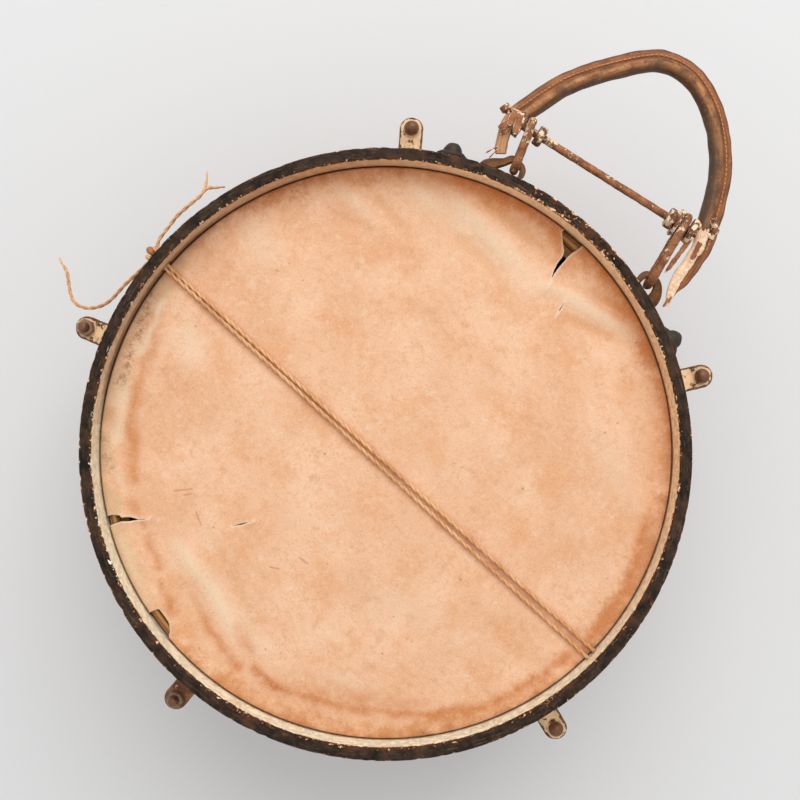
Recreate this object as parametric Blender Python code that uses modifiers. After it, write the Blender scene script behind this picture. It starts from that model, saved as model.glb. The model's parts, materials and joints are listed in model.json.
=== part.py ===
"""Side drum with a wooden shell, two calfskin heads, five tension rods, a gut snare and a leather handle.

The drum lies on its batter hoop with the snare head up. Its axis is vertical, and the handle points
along +Y. Every piece is placed from the middle of the drum axis, in metres.
"""
import math

import bmesh
import bpy
from mathutils import Matrix, Vector

MM = 0.001
GAP = 0.3 * MM
RUNNING_GAP = 0.4 * MM

# Wooden shell, its reinforcing rings and the skins
SHELL_RADIUS = 177.8 * MM
SHELL_LENGTH = 165.1 * MM
SHELL_WALL = 5.0 * MM
BEARING_EDGE_WIDTH = 2.8 * MM
BEARING_EDGE_DROP = 2.6 * MM
SHOULDER_WIDTH = 1.0 * MM
SHOULDER_DROP = 0.7 * MM
INNER_SLOPE_DROP = 3.5 * MM
GLUE_RING_WALL = 5.0 * MM
GLUE_RING_HEIGHT = 24.0 * MM
GLUE_RING_DROP = 4.0 * MM
GLUE_RING_SLOPE = 1.5 * MM
SKIN = 0.7 * MM
SKIN_FLAT_PAST_CREST = 0.4 * MM
SKIN_BEND_OUTSIDE = (0.2 * MM, 0.25 * MM)
SKIN_BEND_INSIDE = (0.7 * MM, 0.35 * MM)
LAP_GAP = 0.35 * MM
FLESH_HOOP_HEIGHT = 9.0 * MM
FLESH_HOOP_WALL = 6.9 * MM

# Counter hoops
HOOP_INNER_RADIUS = 180.0 * MM
HOOP_OUTER_RADIUS = 187.5 * MM
HOOP_HEIGHT = 38.0 * MM
HOOP_BEVEL = 1.2 * MM
HEAD_RECESS = 20.0 * MM
RING_STEPS = 60

# Ears, tension rods and nuts
EAR_AZIMUTHS = (54, 126, 198, 270, 342)
RODS_WITH_NUT_ABOVE = (198, 270)
EAR_WIDTH = 15.0 * MM
EAR_TAB_THICKNESS = 2.5 * MM
EAR_LEG_THICKNESS = 2.2 * MM
EAR_LEG_HEIGHT = 22.0 * MM
ROD_CIRCLE_RADIUS = 207.0 * MM
ROD_RADIUS = 3.0 * MM
ROD_HOLE_RADIUS = 3.45 * MM
ROD_END_REACH = 12.8 * MM
ROD_CHAMFER = 0.8 * MM
BALL_HEAD_RADIUS = 4.75 * MM
NUT_ACROSS_CORNERS = 11.5 * MM
NUT_HEIGHT = 6.0 * MM

# Gut snare: its line across the head, the gates, the hook and the anchor button
GUT_DIAMETER = 2.5 * MM
GUT_HOOK_END = (-180.0 * MM, -0.7 * MM)
GUT_ANCHOR_END = (180.0 * MM, -12.5 * MM)
STRAND_OFFSET = 2.0 * MM
LOOP_OFFSET = 3.6 * MM
GATE_WIDTH = 9.0 * MM
GATE_HEIGHT = 4.6 * MM
GUT_HOOK_REST = 2.5 * MM
GUT_RISE_AT_HOOK = 6.0 * MM
GUT_BEND_START = (0.6 * MM, 2.6 * MM)
GUT_BEND_END = (2.4 * MM, 0.5 * MM)
GUT_BEFORE_GATE = (1.5 * MM, 1.0 * MM)
GUT_BEHIND_GATE = (0.6 * MM, 0.1 * MM)
GUT_DOWN_BEND = (0.6 * MM, 2.4 * MM)
GUT_OFF_HOOP = 0.55 * MM
STRAND_SPANS = 6
HOOK_WIRE_RADIUS = 2.0 * MM
HOOK_SHANK_AT = 191.0 * MM
HOOK_BEND_RADIUS = 3.5 * MM
HOOK_TOP_DEPTH = 31.5 * MM
HOOK_END_DEPTH = 112.0 * MM
HOOK_BALL_RADIUS = 2.6 * MM
HOOK_TIP_LENGTH = 3.0 * MM
BRACKET_TOP_DEPTH = 60.0 * MM
BRACKET_HEIGHT = 34.0 * MM
BRACKET_WIDTH = 20.0 * MM
BRACKET_THICKNESS = 2.5 * MM
LUG_DEPTH = 70.0 * MM
LUG_HEIGHT = 10.0 * MM
LUG_WIDTH = 12.0 * MM
LUG_ROOT = 1.0 * MM
THUMB_NUT_RADIUS = 7.0 * MM
THUMB_NUT_HEIGHT = 8.0 * MM
SCREW_INSET = 4.5 * MM
SCREW_SHANK_RADIUS = 1.5 * MM
SCREW_HEAD_RADIUS = 3.2 * MM
SCREW_HEAD_HEIGHT = 1.7 * MM
SCREW_DOME = (0.7, 0.8)
SCREW_LENGTH = 4.0 * MM
ANCHOR_DEPTH = 30.0 * MM
ANCHOR_SHANK_RADIUS = 2.0 * MM
ANCHOR_HEAD_RADIUS = 4.5 * MM
ANCHOR_HEAD_RISES = (2.2 * MM, 1.8 * MM, 0.6 * MM)
ANCHOR_DOME = 0.75
ANCHOR_SLACK = 1.2 * MM

# Free tails of the gut, from the drum axis and below the snare rim (across, along, depth)
TAIL_A_ROUTE = (
    (-194.4, 3.4, 34.5), (-194.7, 3.6, 36.3), (-196.9, 4.8, 38.1), (-199.2, 8.4, 39.0),
    (-199.9, 14.6, 39.2), (-200.3, 22.0, 39.6), (-200.7, 28.2, 40.4), (-200.0, 35.8, 41.6),
    (-199.5, 41.8, 43.2), (-198.9, 47.2, 44.6), (-199.9, 52.8, 46.2), (-203.8, 59.2, 48.2),
)
TAIL_B_ROUTE = (
    (-194.6, -3.8, 34.5), (-194.7, -4.1, 36.3), (-195.1, -7.2, 38.6), (-195.9, -14.0, 40.0),
    (-197.0, -21.0, 41.4), (-198.2, -28.2, 43.0), (-198.7, -33.5, 44.6), (-199.5, -40.6, 46.8),
    (-201.6, -47.2, 49.2), (-206.2, -53.4, 52.2), (-211.8, -57.6, 55.2), (-218.1, -59.4, 58.0),
    (-223.6, -58.2, 60.6), (-229.3, -54.9, 63.0), (-234.4, -51.1, 65.2), (-239.3, -48.0, 67.4),
    (-246.3, -46.0, 70.4),
)
TAIL_POINTS_PER_SPAN = 2

# Leather handle, seen from above: across the drum, and outwards from the drum axis
HANDLE_DEPTH = 25.0 * MM
HINGE_OUT = 192.5 * MM
EYE_ACROSS = 56.0 * MM
GRIP_RADIUS = 6.65 * MM
GRIP_ROUTE = (
    (-71.0, 194.0, 0.45), (-73.6, 201.0, 0.56), (-75.4, 208.5, 0.66), (-74.6, 221.4, 0.76),
    (-65.7, 249.1, 0.98), (-53.2, 271.5, 1.0), (-35.6, 294.8, 1.0), (-24.1, 303.2, 1.0),
    (-8.7, 306.1, 1.0), (6.8, 302.7, 1.0), (21.5, 295.2, 1.0), (35.8, 283.3, 1.0),
    (46.9, 270.3, 1.0), (55.6, 255.3, 1.0), (62.1, 240.9, 0.96), (68.0, 228.5, 0.84),
    (69.4, 217.3, 0.76), (70.5, 203.7, 0.74), (70.8, 194.1, 0.42), (74.2, 184.0, 0.18),
)
GRIP_POINTS_PER_SPAN = 3
CROSS_ROD_RADIUS = 2.5 * MM
CROSS_ROD_ENDS = ((-84.0 * MM, 210.3 * MM), (66.0 * MM, 232.4 * MM))
GRIP_BORE_SHIFTS = (10.0 * MM, -4.0 * MM)
CROSS_ROD_NUTS = {"left": -55.5 * MM, "right": 40.8 * MM}
CROSS_NUT_ACROSS_CORNERS = 13.6 * MM
CROSS_NUT_HEIGHT = 5.4 * MM
LINK_WIRE_RADIUS = 2.0 * MM
LINK_EYE_RADIUS = 6.0 * MM
LINK_TOPS = {"left": (-63.4 * MM, 213.9 * MM), "right": (49.3 * MM, 231.0 * MM)}
LINK_ARC_STEPS = 8
LOOP_LEATHER = 2.2 * MM
LOOP_STRAP_HEIGHT = 13.0 * MM
LOOP_EYE_HEIGHT = 4.4 * MM
LOOP_HALF_LENGTH = 8.0 * MM
LOOP_CORNER = 4.0 * MM
LOOP_ROOT = 0.5 * MM
LOOP_TAIL_AZIMUTHS = (57.0, 77.5)
DOME_AZIMUTH = 62.0
DOME_BASE_RADIUS = 10.0 * MM
DOME_BASE_HEIGHT = 2.0 * MM
DOME_BASE_CHAMFER = 0.6 * MM
DOME_RADIUS = 6.2 * MM
DOME_TIP_AT = 200.0 * MM
DOME_SHANK_RADIUS = 2.5 * MM

# Vent in the shell
VENT_AZIMUTH = 222.0
VENT_HOLE_RADIUS = 6.0 * MM
VENT_TUBE_RADIUS = 5.4 * MM
VENT_BORE_RADIUS = 4.0 * MM
VENT_FLANGE_RADIUS = 8.5 * MM
VENT_FLANGE_HEIGHT = 1.2 * MM
VENT_FLANGE_CHAMFER = 0.8 * MM
VENT_TUBE_END = 1.0 * MM

# The origin lies under the middle of the box round the drum and its handle
AXIS_Y = -49.15 * MM

SHELL_TOP = SHELL_LENGTH / 2
HEAD_TOP = SHELL_TOP + GAP + SKIN
RIM_TOP = HEAD_TOP + HEAD_RECESS
HOOP_FOOT = RIM_TOP - HOOP_HEIGHT
EAR_TAB_TOP = HOOP_FOOT + EAR_TAB_THICKNESS
EAR_FACE = HOOP_OUTER_RADIUS + GAP
GUT_HEIGHT = HEAD_TOP + GAP + GUT_DIAMETER / 2
HANDLE_Z = RIM_TOP - HANDLE_DEPTH
EYE_AT = math.hypot(EYE_ACROSS, HINGE_OUT)
EYE_AZIMUTH = math.degrees(math.atan2(HINGE_OUT, EYE_ACROSS))
STRAP_FACE = HOOP_OUTER_RADIUS + RUNNING_GAP
DOME_SEAT = STRAP_FACE + LOOP_LEATHER + RUNNING_GAP
SMALL_STEPS = 12
EMPTY_SIZE = 30.0 * MM
THROUGH_CUT = 30.0 * MM
HOLE_MOUTH = 2.0 * MM
SCREW_HOLE_DEPTH = 6.0 * MM
SCREW_REACH = 4.3 * MM

PARTS = "side_drum"
CUTTERS = "side_drum_cutters"


def clear_scene():
    for item in list(bpy.data.objects):
        bpy.data.objects.remove(item, do_unlink=True)


def make_collection(name):
    group = bpy.data.collections.new(name)
    bpy.context.scene.collection.children.link(group)
    return group


def linear(channel):
    value = channel / 255
    return value / 12.92 if value <= 0.04045 else ((value + 0.055) / 1.055) ** 2.4


def finish(name, colour, roughness, metallic=0.0):
    """A material whose colour is written as 0 to 255 screen values."""
    made = bpy.data.materials.new(name)
    made.use_nodes = True
    shader = made.node_tree.nodes["Principled BSDF"]
    shader.inputs["Base Color"].default_value = [linear(c) for c in colour] + [1.0]
    shader.inputs["Roughness"].default_value = roughness
    shader.inputs["Metallic"].default_value = metallic
    made.diffuse_color = [linear(c) for c in colour] + [1.0]
    return made


def add_object(name, data, skin, parent):
    item = bpy.data.objects.new(name, data)
    bpy.data.collections[PARTS].objects.link(item)
    item.parent = parent
    if skin is not None:
        data.materials.clear()
        data.materials.append(skin)
    return item


def add_empty(name, location, parent=None):
    empty = bpy.data.objects.new(name, None)
    empty.empty_display_size = EMPTY_SIZE
    empty.location = location
    empty.parent = parent
    bpy.data.collections[PARTS].objects.link(empty)
    return empty


def turned_mesh(name, profile):
    """Edges of a turned profile of (radius, height) points; closed unless both ends lie on the axis."""
    mesh = bpy.data.meshes.new(name)
    edges = [(i, i + 1) for i in range(len(profile) - 1)]
    if profile[0][0] > 0:
        edges.append((len(profile) - 1, 0))
    mesh.from_pydata([(r, 0, z) for r, z in profile], edges, [])
    return mesh


def turn(item, steps):
    screw = item.modifiers.new("turn", "SCREW")
    screw.axis = "Z"
    screw.angle = 2 * math.pi
    screw.steps = steps
    screw.render_steps = steps
    screw.use_merge_vertices = True
    screw.merge_threshold = 0.00001
    return item


def turned(name, profile, skin, parent, steps=SMALL_STEPS):
    return turn(add_object(name, turned_mesh(name, profile), skin, parent), steps)


def set_on_radius(item, azimuth, height):
    """Lay a piece that was turned about Z along a radius of the drum, with its Z pointing outwards."""
    item.location = (0, 0, height)
    item.rotation_euler = (0, math.pi / 2, math.radians(azimuth))
    return item


def polar(radius, azimuth, height=0.0):
    angle = math.radians(azimuth)
    return Vector((radius * math.cos(angle), radius * math.sin(angle), height))


def arc(centre, radius, start, end, steps):
    """Points on an arc in the plane, from one angle to another in degrees, both ends included."""
    points = []
    for i in range(steps + 1):
        angle = math.radians(start + (end - start) * i / steps)
        points.append((centre[0] + radius * math.cos(angle), centre[1] + radius * math.sin(angle)))
    return points


def circle(centre, radius, steps=SMALL_STEPS):
    return arc(centre, radius, 0, 360, steps)[:-1]


def smooth_route(points, per_span):
    """Points along a smooth curve (Catmull-Rom) through the given points, which are vectors of any size."""
    ends = [points[0] * 2 - points[1]] + list(points) + [points[-1] * 2 - points[-2]]
    route = []
    for a, b, c, d in zip(ends, ends[1:], ends[2:], ends[3:]):
        for i in range(per_span):
            t = i / per_span
            route.append(
                b + (c - a) * (t / 2) + (a * 2 - b * 5 + c * 4 - d) * (t * t / 2)
                + (b * 3 - a - c * 3 + d) * (t * t * t / 2)
            )
    route.append(points[-1].copy())
    return route


def tube_curve(name, points, radius, resolution, cyclic=False, widths=None):
    """A round tube along points; widths are factors on its radius."""
    curve = bpy.data.curves.new(name, "CURVE")
    curve.dimensions = "3D"
    curve.bevel_depth = radius
    curve.bevel_resolution = resolution
    curve.use_fill_caps = True
    spline = curve.splines.new("POLY")
    spline.points.add(len(points) - 1)
    for i, point in enumerate(points):
        spline.points[i].co = (*point, 1)
        spline.points[i].radius = widths[i] if widths else 1.0
    spline.use_cyclic_u = cyclic
    return curve


def plate_curve(name, outlines, thickness):
    """A flat plate, centred on its plane, from its outer outline and the outlines of its holes."""
    curve = bpy.data.curves.new(name, "CURVE")
    curve.dimensions = "2D"
    curve.fill_mode = "BOTH"
    curve.extrude = thickness / 2
    for outline in outlines:
        spline = curve.splines.new("POLY")
        spline.points.add(len(outline) - 1)
        for point, (x, y) in zip(spline.points, outline):
            point.co = (x, y, 0, 1)
        spline.use_cyclic_u = True
    return curve


def mesh_of(data):
    """The closed mesh of a curve, or of a mesh with modifiers, given as an object."""
    view = bpy.context.evaluated_depsgraph_get()
    view.update()
    mesh = bpy.data.meshes.new_from_object(data.evaluated_get(view))
    work = bmesh.new()
    work.from_mesh(mesh)
    bmesh.ops.remove_doubles(work, verts=work.verts, dist=0.00001)
    bmesh.ops.recalc_face_normals(work, faces=work.faces)
    work.to_mesh(mesh)
    work.free()
    return mesh


def curve_to_mesh(curve):
    holder = bpy.data.objects.new("holder", curve)
    bpy.context.scene.collection.objects.link(holder)
    mesh = mesh_of(holder)
    bpy.data.objects.remove(holder, do_unlink=True)
    return mesh


def cutter(name, shapes, parent):
    """A hidden object that holds the boxes and cylinders cut from, or joined to, another piece.

    Each shape is (kind, size, matrix): a box has three sides, a cylinder a radius and a length along Z.
    """
    work = bmesh.new()
    for kind, size, matrix in shapes:
        if kind == "box":
            made = bmesh.ops.create_cube(work, size=1.0)
            bmesh.ops.scale(work, vec=size, verts=made["verts"])
        else:
            made = bmesh.ops.create_cone(
                work, cap_ends=True, segments=SMALL_STEPS, radius1=size[0], radius2=size[0], depth=size[1]
            )
        bmesh.ops.transform(work, matrix=matrix, verts=made["verts"])
    mesh = bpy.data.meshes.new(name)
    work.to_mesh(mesh)
    work.free()
    return hidden(name, mesh, parent)


def hidden(name, mesh, parent):
    item = bpy.data.objects.new(name, mesh)
    bpy.data.collections[CUTTERS].objects.link(item)
    item.parent = parent
    item.hide_render = True
    item.display_type = "WIRE"
    return item


def combine(item, tool, operation):
    boolean = item.modifiers.new(tool.name, "BOOLEAN")
    boolean.operation = operation
    boolean.object = tool


def radial_matrix(radius, azimuth, height):
    """Moves a shape to a point on a radius of the drum, with its Z pointing outwards."""
    turn_out = Matrix.Rotation(math.radians(azimuth), 4, "Z") @ Matrix.Rotation(math.pi / 2, 4, "Y")
    return Matrix.Translation(polar(radius, azimuth, height)) @ turn_out


def upright_matrix(radius, azimuth, height):
    """Moves a shape to a point on a radius of the drum, with its X pointing outwards and its Z up."""
    turn_out = Matrix.Rotation(math.radians(azimuth), 4, "Z")
    return Matrix.Translation(polar(radius, azimuth, height)) @ turn_out


def flip(item):
    """Turn a piece of the snare side over to the batter side."""
    item.rotation_euler = (math.pi, 0, 0)
    return item


def build_shell(axis, wood):
    crest = SHELL_RADIUS - BEARING_EDGE_WIDTH
    shoulder = SHELL_RADIUS - SHOULDER_WIDTH
    inner = SHELL_RADIUS - SHELL_WALL
    upper = [
        (crest, SHELL_TOP),
        (shoulder, SHELL_TOP - SHOULDER_DROP),
        (SHELL_RADIUS, SHELL_TOP - BEARING_EDGE_DROP),
    ]
    slope = SHELL_TOP - INNER_SLOPE_DROP
    profile = upper + [(r, -z) for r, z in reversed(upper)] + [(inner, -slope), (inner, slope)]
    shell = turned("shell", profile, wood["shell"], axis, RING_STEPS)
    holes = [("cylinder", (VENT_HOLE_RADIUS, THROUGH_CUT), radial_matrix(SHELL_RADIUS, VENT_AZIMUTH, 0))]
    for height in bracket_screw_heights():
        depth = SCREW_LENGTH + GAP
        middle = SHELL_RADIUS + HOLE_MOUTH - depth / 2
        size = (SCREW_SHANK_RADIUS + RUNNING_GAP, depth + 2 * HOLE_MOUTH)
        holes.append(("cylinder", size, radial_matrix(middle, 180, height)))
    combine(shell, cutter("shell_holes", holes, axis), "DIFFERENCE")

    ring_outer = inner - GAP
    ring_inner = ring_outer - GLUE_RING_WALL
    ring_top = SHELL_TOP - GLUE_RING_DROP
    ring_profile = [
        (ring_outer, ring_top),
        (ring_outer, ring_top - GLUE_RING_HEIGHT),
        (ring_inner, ring_top - GLUE_RING_HEIGHT),
        (ring_inner, ring_top - GLUE_RING_SLOPE),
    ]
    turned("snare_side_glue_ring", ring_profile, wood["ring"], axis, RING_STEPS)
    flip(turned("batter_side_glue_ring", ring_profile, wood["ring"], axis, RING_STEPS))


def build_head(side, axis, skins, wood):
    """A calfskin head: the skin over the bearing edge, its lapped edge and the flesh hoop in the lap."""
    crest = SHELL_RADIUS - BEARING_EDGE_WIDTH
    lap_inner = SHELL_RADIUS + LAP_GAP
    lap_outer = lap_inner + SKIN
    roll_foot = SHELL_TOP - BEARING_EDGE_DROP
    skin_profile = [
        (0, HEAD_TOP),
        (crest + SKIN_FLAT_PAST_CREST, HEAD_TOP),
        (SHELL_RADIUS - SKIN_BEND_OUTSIDE[0], SHELL_TOP + SKIN_BEND_OUTSIDE[1]),
        (lap_outer, roll_foot),
        (lap_inner, roll_foot),
        (SHELL_RADIUS - SKIN_BEND_INSIDE[0], SHELL_TOP - SKIN_BEND_INSIDE[1]),
        (crest + GAP, SHELL_TOP + GAP),
        (0, SHELL_TOP + GAP),
    ]
    lap_top = HOOP_FOOT - GAP
    flesh_top = lap_top - SKIN - GAP
    flesh_foot = flesh_top - FLESH_HOOP_HEIGHT
    flesh_inner = lap_outer + GAP
    flesh_outer = flesh_inner + FLESH_HOOP_WALL
    wrap_inner = flesh_outer + GAP
    wrap_outer = wrap_inner + SKIN
    lap_profile = [
        (wrap_outer, lap_top - SKIN),
        (wrap_outer, flesh_foot - GAP - SKIN),
        (lap_inner, flesh_foot - GAP - SKIN),
        (lap_inner, roll_foot - GAP),
        (lap_outer, roll_foot - GAP),
        (lap_outer, flesh_foot - GAP),
        (wrap_inner, flesh_foot - GAP),
        (wrap_inner, lap_top - SKIN),
    ]
    flesh_profile = [
        (flesh_outer, flesh_top),
        (flesh_outer, flesh_foot),
        (flesh_inner, flesh_foot),
        (flesh_inner, flesh_top),
    ]
    pieces = [
        turned(side + "_head", skin_profile, skins[side], axis, RING_STEPS),
        turned(side + "_head_lap", lap_profile, skins[side], axis, RING_STEPS),
        turned(side + "_flesh_hoop", flesh_profile, wood["ring"], axis, RING_STEPS),
    ]
    if side == "batter":
        for piece in pieces:
            flip(piece)


def build_hoops(axis, paint):
    profile = [
        (HOOP_OUTER_RADIUS, RIM_TOP - HOOP_BEVEL),
        (HOOP_OUTER_RADIUS, HOOP_FOOT + HOOP_BEVEL),
        (HOOP_OUTER_RADIUS - HOOP_BEVEL, HOOP_FOOT),
        (HOOP_INNER_RADIUS + HOOP_BEVEL, HOOP_FOOT),
        (HOOP_INNER_RADIUS, HOOP_FOOT + HOOP_BEVEL),
        (HOOP_INNER_RADIUS, RIM_TOP - HOOP_BEVEL),
        (HOOP_INNER_RADIUS + HOOP_BEVEL, RIM_TOP),
        (HOOP_OUTER_RADIUS - HOOP_BEVEL, RIM_TOP),
    ]
    flip(turned("batter_counter_hoop", profile, paint, axis, RING_STEPS))
    hoop = turned("snare_counter_hoop", profile, paint, axis, RING_STEPS)
    wall_middle = (HOOP_INNER_RADIUS + HOOP_OUTER_RADIUS) / 2
    gate_size = (THROUGH_CUT, GATE_WIDTH, GATE_HEIGHT)
    gate_height = GUT_HEIGHT + GAP
    cuts = []
    for end in (GUT_HOOK_END, GUT_ANCHOR_END):
        azimuth = math.degrees(math.atan2(end[1], end[0]))
        cuts.append(("box", gate_size, upright_matrix(wall_middle, azimuth, gate_height)))
    anchor_size = (ANCHOR_SHANK_RADIUS + RUNNING_GAP, 2 * SCREW_HOLE_DEPTH)
    anchor_at = radial_matrix(HOOP_OUTER_RADIUS, anchor_azimuth(), anchor_height())
    cuts.append(("cylinder", anchor_size, anchor_at))
    dome_size = (DOME_SHANK_RADIUS + RUNNING_GAP, 2 * SCREW_HOLE_DEPTH)
    for azimuth in (DOME_AZIMUTH, 180 - DOME_AZIMUTH):
        cuts.append(("cylinder", dome_size, radial_matrix(HOOP_OUTER_RADIUS, azimuth, HANDLE_Z)))
    combine(hoop, cutter("hoop_cuts", cuts, axis), "DIFFERENCE")


def ear_mesh():
    """An iron ear: a leg flat on the hoop and a tab, with a round end and a hole, that carries the rod."""
    half = EAR_WIDTH / 2
    end = arc((ROD_CIRCLE_RADIUS, 0), half, -90, 90, 10)
    outline = [(EAR_FACE, -half)] + end + [(EAR_FACE, half)]
    hole = circle((ROD_CIRCLE_RADIUS, 0), ROD_HOLE_RADIUS)
    tab_mesh = curve_to_mesh(plate_curve("ear_tab", [outline, hole], EAR_TAB_THICKNESS))
    tab = bpy.data.objects.new("ear_tab", tab_mesh)
    bpy.context.scene.collection.objects.link(tab)
    leg_size = (EAR_LEG_THICKNESS, EAR_WIDTH, EAR_LEG_HEIGHT)
    leg_rise = (EAR_LEG_HEIGHT - EAR_TAB_THICKNESS) / 2
    leg_at = Matrix.Translation((EAR_FACE + EAR_LEG_THICKNESS / 2, 0, leg_rise))
    combine(tab, cutter("ear_leg", [("box", leg_size, leg_at)], None), "UNION")
    mesh = mesh_of(tab)
    bpy.data.objects.remove(tab, do_unlink=True)
    return mesh


def build_ears(axis, iron):
    mesh = ear_mesh()
    middle = HOOP_FOOT + EAR_TAB_THICKNESS / 2
    for number, azimuth in enumerate(EAR_AZIMUTHS, start=1):
        upper = add_object("snare_ear_%d" % number, mesh, iron, axis)
        upper.location = (0, 0, middle)
        upper.rotation_euler = (0, 0, math.radians(azimuth))
        lower = add_object("batter_ear_%d" % number, mesh, iron, axis)
        lower.location = (0, 0, -middle)
        lower.rotation_euler = (math.pi, 0, math.radians(azimuth))


def rod_profile():
    """A tension rod with its ball head up, seated on the upper ear."""
    seat = EAR_TAB_TOP + GAP
    centre = seat + BALL_HEAD_RADIUS / 2
    ball = []
    for angle in (90, 60, 30, 0, -30):
        reach = BALL_HEAD_RADIUS * math.cos(math.radians(angle))
        ball.append((max(reach, 0.0), centre + BALL_HEAD_RADIUS * math.sin(math.radians(angle))))
    ball[0] = (0.0, ball[0][1])
    end = -EAR_TAB_TOP - ROD_END_REACH
    shaft = [
        (ROD_RADIUS, seat),
        (ROD_RADIUS, end + ROD_CHAMFER),
        (ROD_RADIUS - ROD_CHAMFER, end),
        (0.0, end),
    ]
    return ball + shaft


def nut_mesh(name, across_corners, height, bore):
    outlines = [circle((0, 0), across_corners / 2, 6), circle((0, 0), bore)]
    return curve_to_mesh(plate_curve(name, outlines, height))


def build_rods(axis, iron):
    rod_mesh = turned_mesh("tension_rod", rod_profile())
    nut = nut_mesh("tension_nut", NUT_ACROSS_CORNERS, NUT_HEIGHT, ROD_HOLE_RADIUS)
    for number, azimuth in enumerate(EAR_AZIMUTHS, start=1):
        nut_above = azimuth in RODS_WITH_NUT_ABOVE
        rod = turn(add_object("tension_rod_%d" % number, rod_mesh, iron, axis), SMALL_STEPS)
        rod.location = polar(ROD_CIRCLE_RADIUS, azimuth)
        rod.rotation_euler = (math.pi if nut_above else 0, 0, math.radians(azimuth))
        height = EAR_TAB_TOP + GAP + NUT_HEIGHT / 2
        piece = add_object("tension_nut_%d" % number, nut, iron, axis)
        piece.location = polar(ROD_CIRCLE_RADIUS, azimuth, height if nut_above else -height)
        piece.rotation_euler = (0, 0, math.radians(azimuth))


def anchor_azimuth():
    return math.degrees(math.atan2(GUT_ANCHOR_END[1], GUT_ANCHOR_END[0]))


def anchor_height():
    return RIM_TOP - ANCHOR_DEPTH


def bracket_screw_heights():
    top = RIM_TOP - BRACKET_TOP_DEPTH
    return (top - SCREW_INSET, top - BRACKET_HEIGHT + SCREW_INSET)


def build_strainer(axis, iron):
    """Bracket on the shell, its screws, the hook that pulls the gut and the thumb nut that draws it."""
    plate_foot = SHELL_RADIUS + GAP
    plate_face = plate_foot + BRACKET_THICKNESS
    top = RIM_TOP - BRACKET_TOP_DEPTH
    lug_middle = RIM_TOP - LUG_DEPTH - LUG_HEIGHT / 2
    plate_at = upright_matrix(plate_foot + BRACKET_THICKNESS / 2, 180, top - BRACKET_HEIGHT / 2)
    plate_size = (BRACKET_THICKNESS, BRACKET_WIDTH, BRACKET_HEIGHT)
    plate = cutter("bracket_plate", [("box", plate_size, plate_at)], axis)
    half = LUG_WIDTH / 2
    end = arc((HOOK_SHANK_AT, 0), half, -90, 90, 8)
    outline = [(plate_foot + LUG_ROOT, -half)] + end + [(plate_foot + LUG_ROOT, half)]
    hole = circle((HOOK_SHANK_AT, 0), HOOK_WIRE_RADIUS + RUNNING_GAP)
    lug = curve_to_mesh(plate_curve("strainer_bracket", [outline, hole], LUG_HEIGHT))
    bracket = add_object("strainer_bracket", lug, iron, axis)
    bracket.location = (0, 0, lug_middle)
    bracket.rotation_euler = (0, 0, math.pi)
    combine(bracket, plate, "UNION")
    holes = []
    for height in bracket_screw_heights():
        size = (SCREW_SHANK_RADIUS + RUNNING_GAP, 2 * SCREW_HOLE_DEPTH)
        holes.append(("cylinder", size, radial_matrix(plate_foot, 180, height)))
    combine(bracket, cutter("bracket_holes", holes, axis), "DIFFERENCE")

    seat = plate_face + GAP
    screw_profile = [
        (0.0, seat + SCREW_HEAD_HEIGHT),
        (SCREW_HEAD_RADIUS * SCREW_DOME[0], seat + SCREW_HEAD_HEIGHT * SCREW_DOME[1]),
        (SCREW_HEAD_RADIUS, seat),
        (SCREW_SHANK_RADIUS, seat),
        (SCREW_SHANK_RADIUS, SHELL_RADIUS - SCREW_LENGTH),
        (0.0, SHELL_RADIUS - SCREW_LENGTH),
    ]
    screw_mesh = turned_mesh("bracket_screw", screw_profile)
    for name, height in zip(("upper", "lower"), bracket_screw_heights()):
        screw = turn(add_object("bracket_screw_" + name, screw_mesh, iron, axis), SMALL_STEPS)
        set_on_radius(screw, 180, height)

    # The hook stands in its own frame: X outwards, the shank on its Z axis
    hook_top = RIM_TOP - HOOK_TOP_DEPTH
    bend = arc((HOOK_BEND_RADIUS, 0), HOOK_BEND_RADIUS, 180, 0, 8)
    shank = [Vector((0, 0, RIM_TOP - HOOK_END_DEPTH))]
    arch = [Vector((x, 0, hook_top + z)) for x, z in bend]
    tip = Vector((2 * HOOK_BEND_RADIUS, 0, hook_top - HOOK_TIP_LENGTH))
    wire = curve_to_mesh(tube_curve("snare_hook", shank + arch + [tip], HOOK_WIRE_RADIUS, 2))
    hook = add_object("snare_hook", wire, iron, axis)
    hook.location = polar(HOOK_SHANK_AT, 180)
    hook.rotation_euler = (0, 0, math.pi)
    work = bmesh.new()
    bmesh.ops.create_uvsphere(work, u_segments=10, v_segments=6, radius=HOOK_BALL_RADIUS)
    bmesh.ops.translate(work, vec=tip, verts=work.verts)
    ball = bpy.data.meshes.new("hook_ball")
    work.to_mesh(ball)
    work.free()
    ball_end = hidden("hook_ball", ball, axis)
    ball_end.location = hook.location
    ball_end.rotation_euler = hook.rotation_euler
    combine(hook, ball_end, "UNION")

    outlines = [circle((0, 0), THUMB_NUT_RADIUS, 16), circle((0, 0), HOOK_WIRE_RADIUS + RUNNING_GAP)]
    nut = curve_to_mesh(plate_curve("snare_thumb_nut", outlines, THUMB_NUT_HEIGHT))
    thumb = add_object("snare_thumb_nut", nut, iron, axis)
    nut_top = RIM_TOP - LUG_DEPTH - LUG_HEIGHT - GAP
    thumb.location = polar(HOOK_SHANK_AT, 180, nut_top - THUMB_NUT_HEIGHT / 2)


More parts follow.
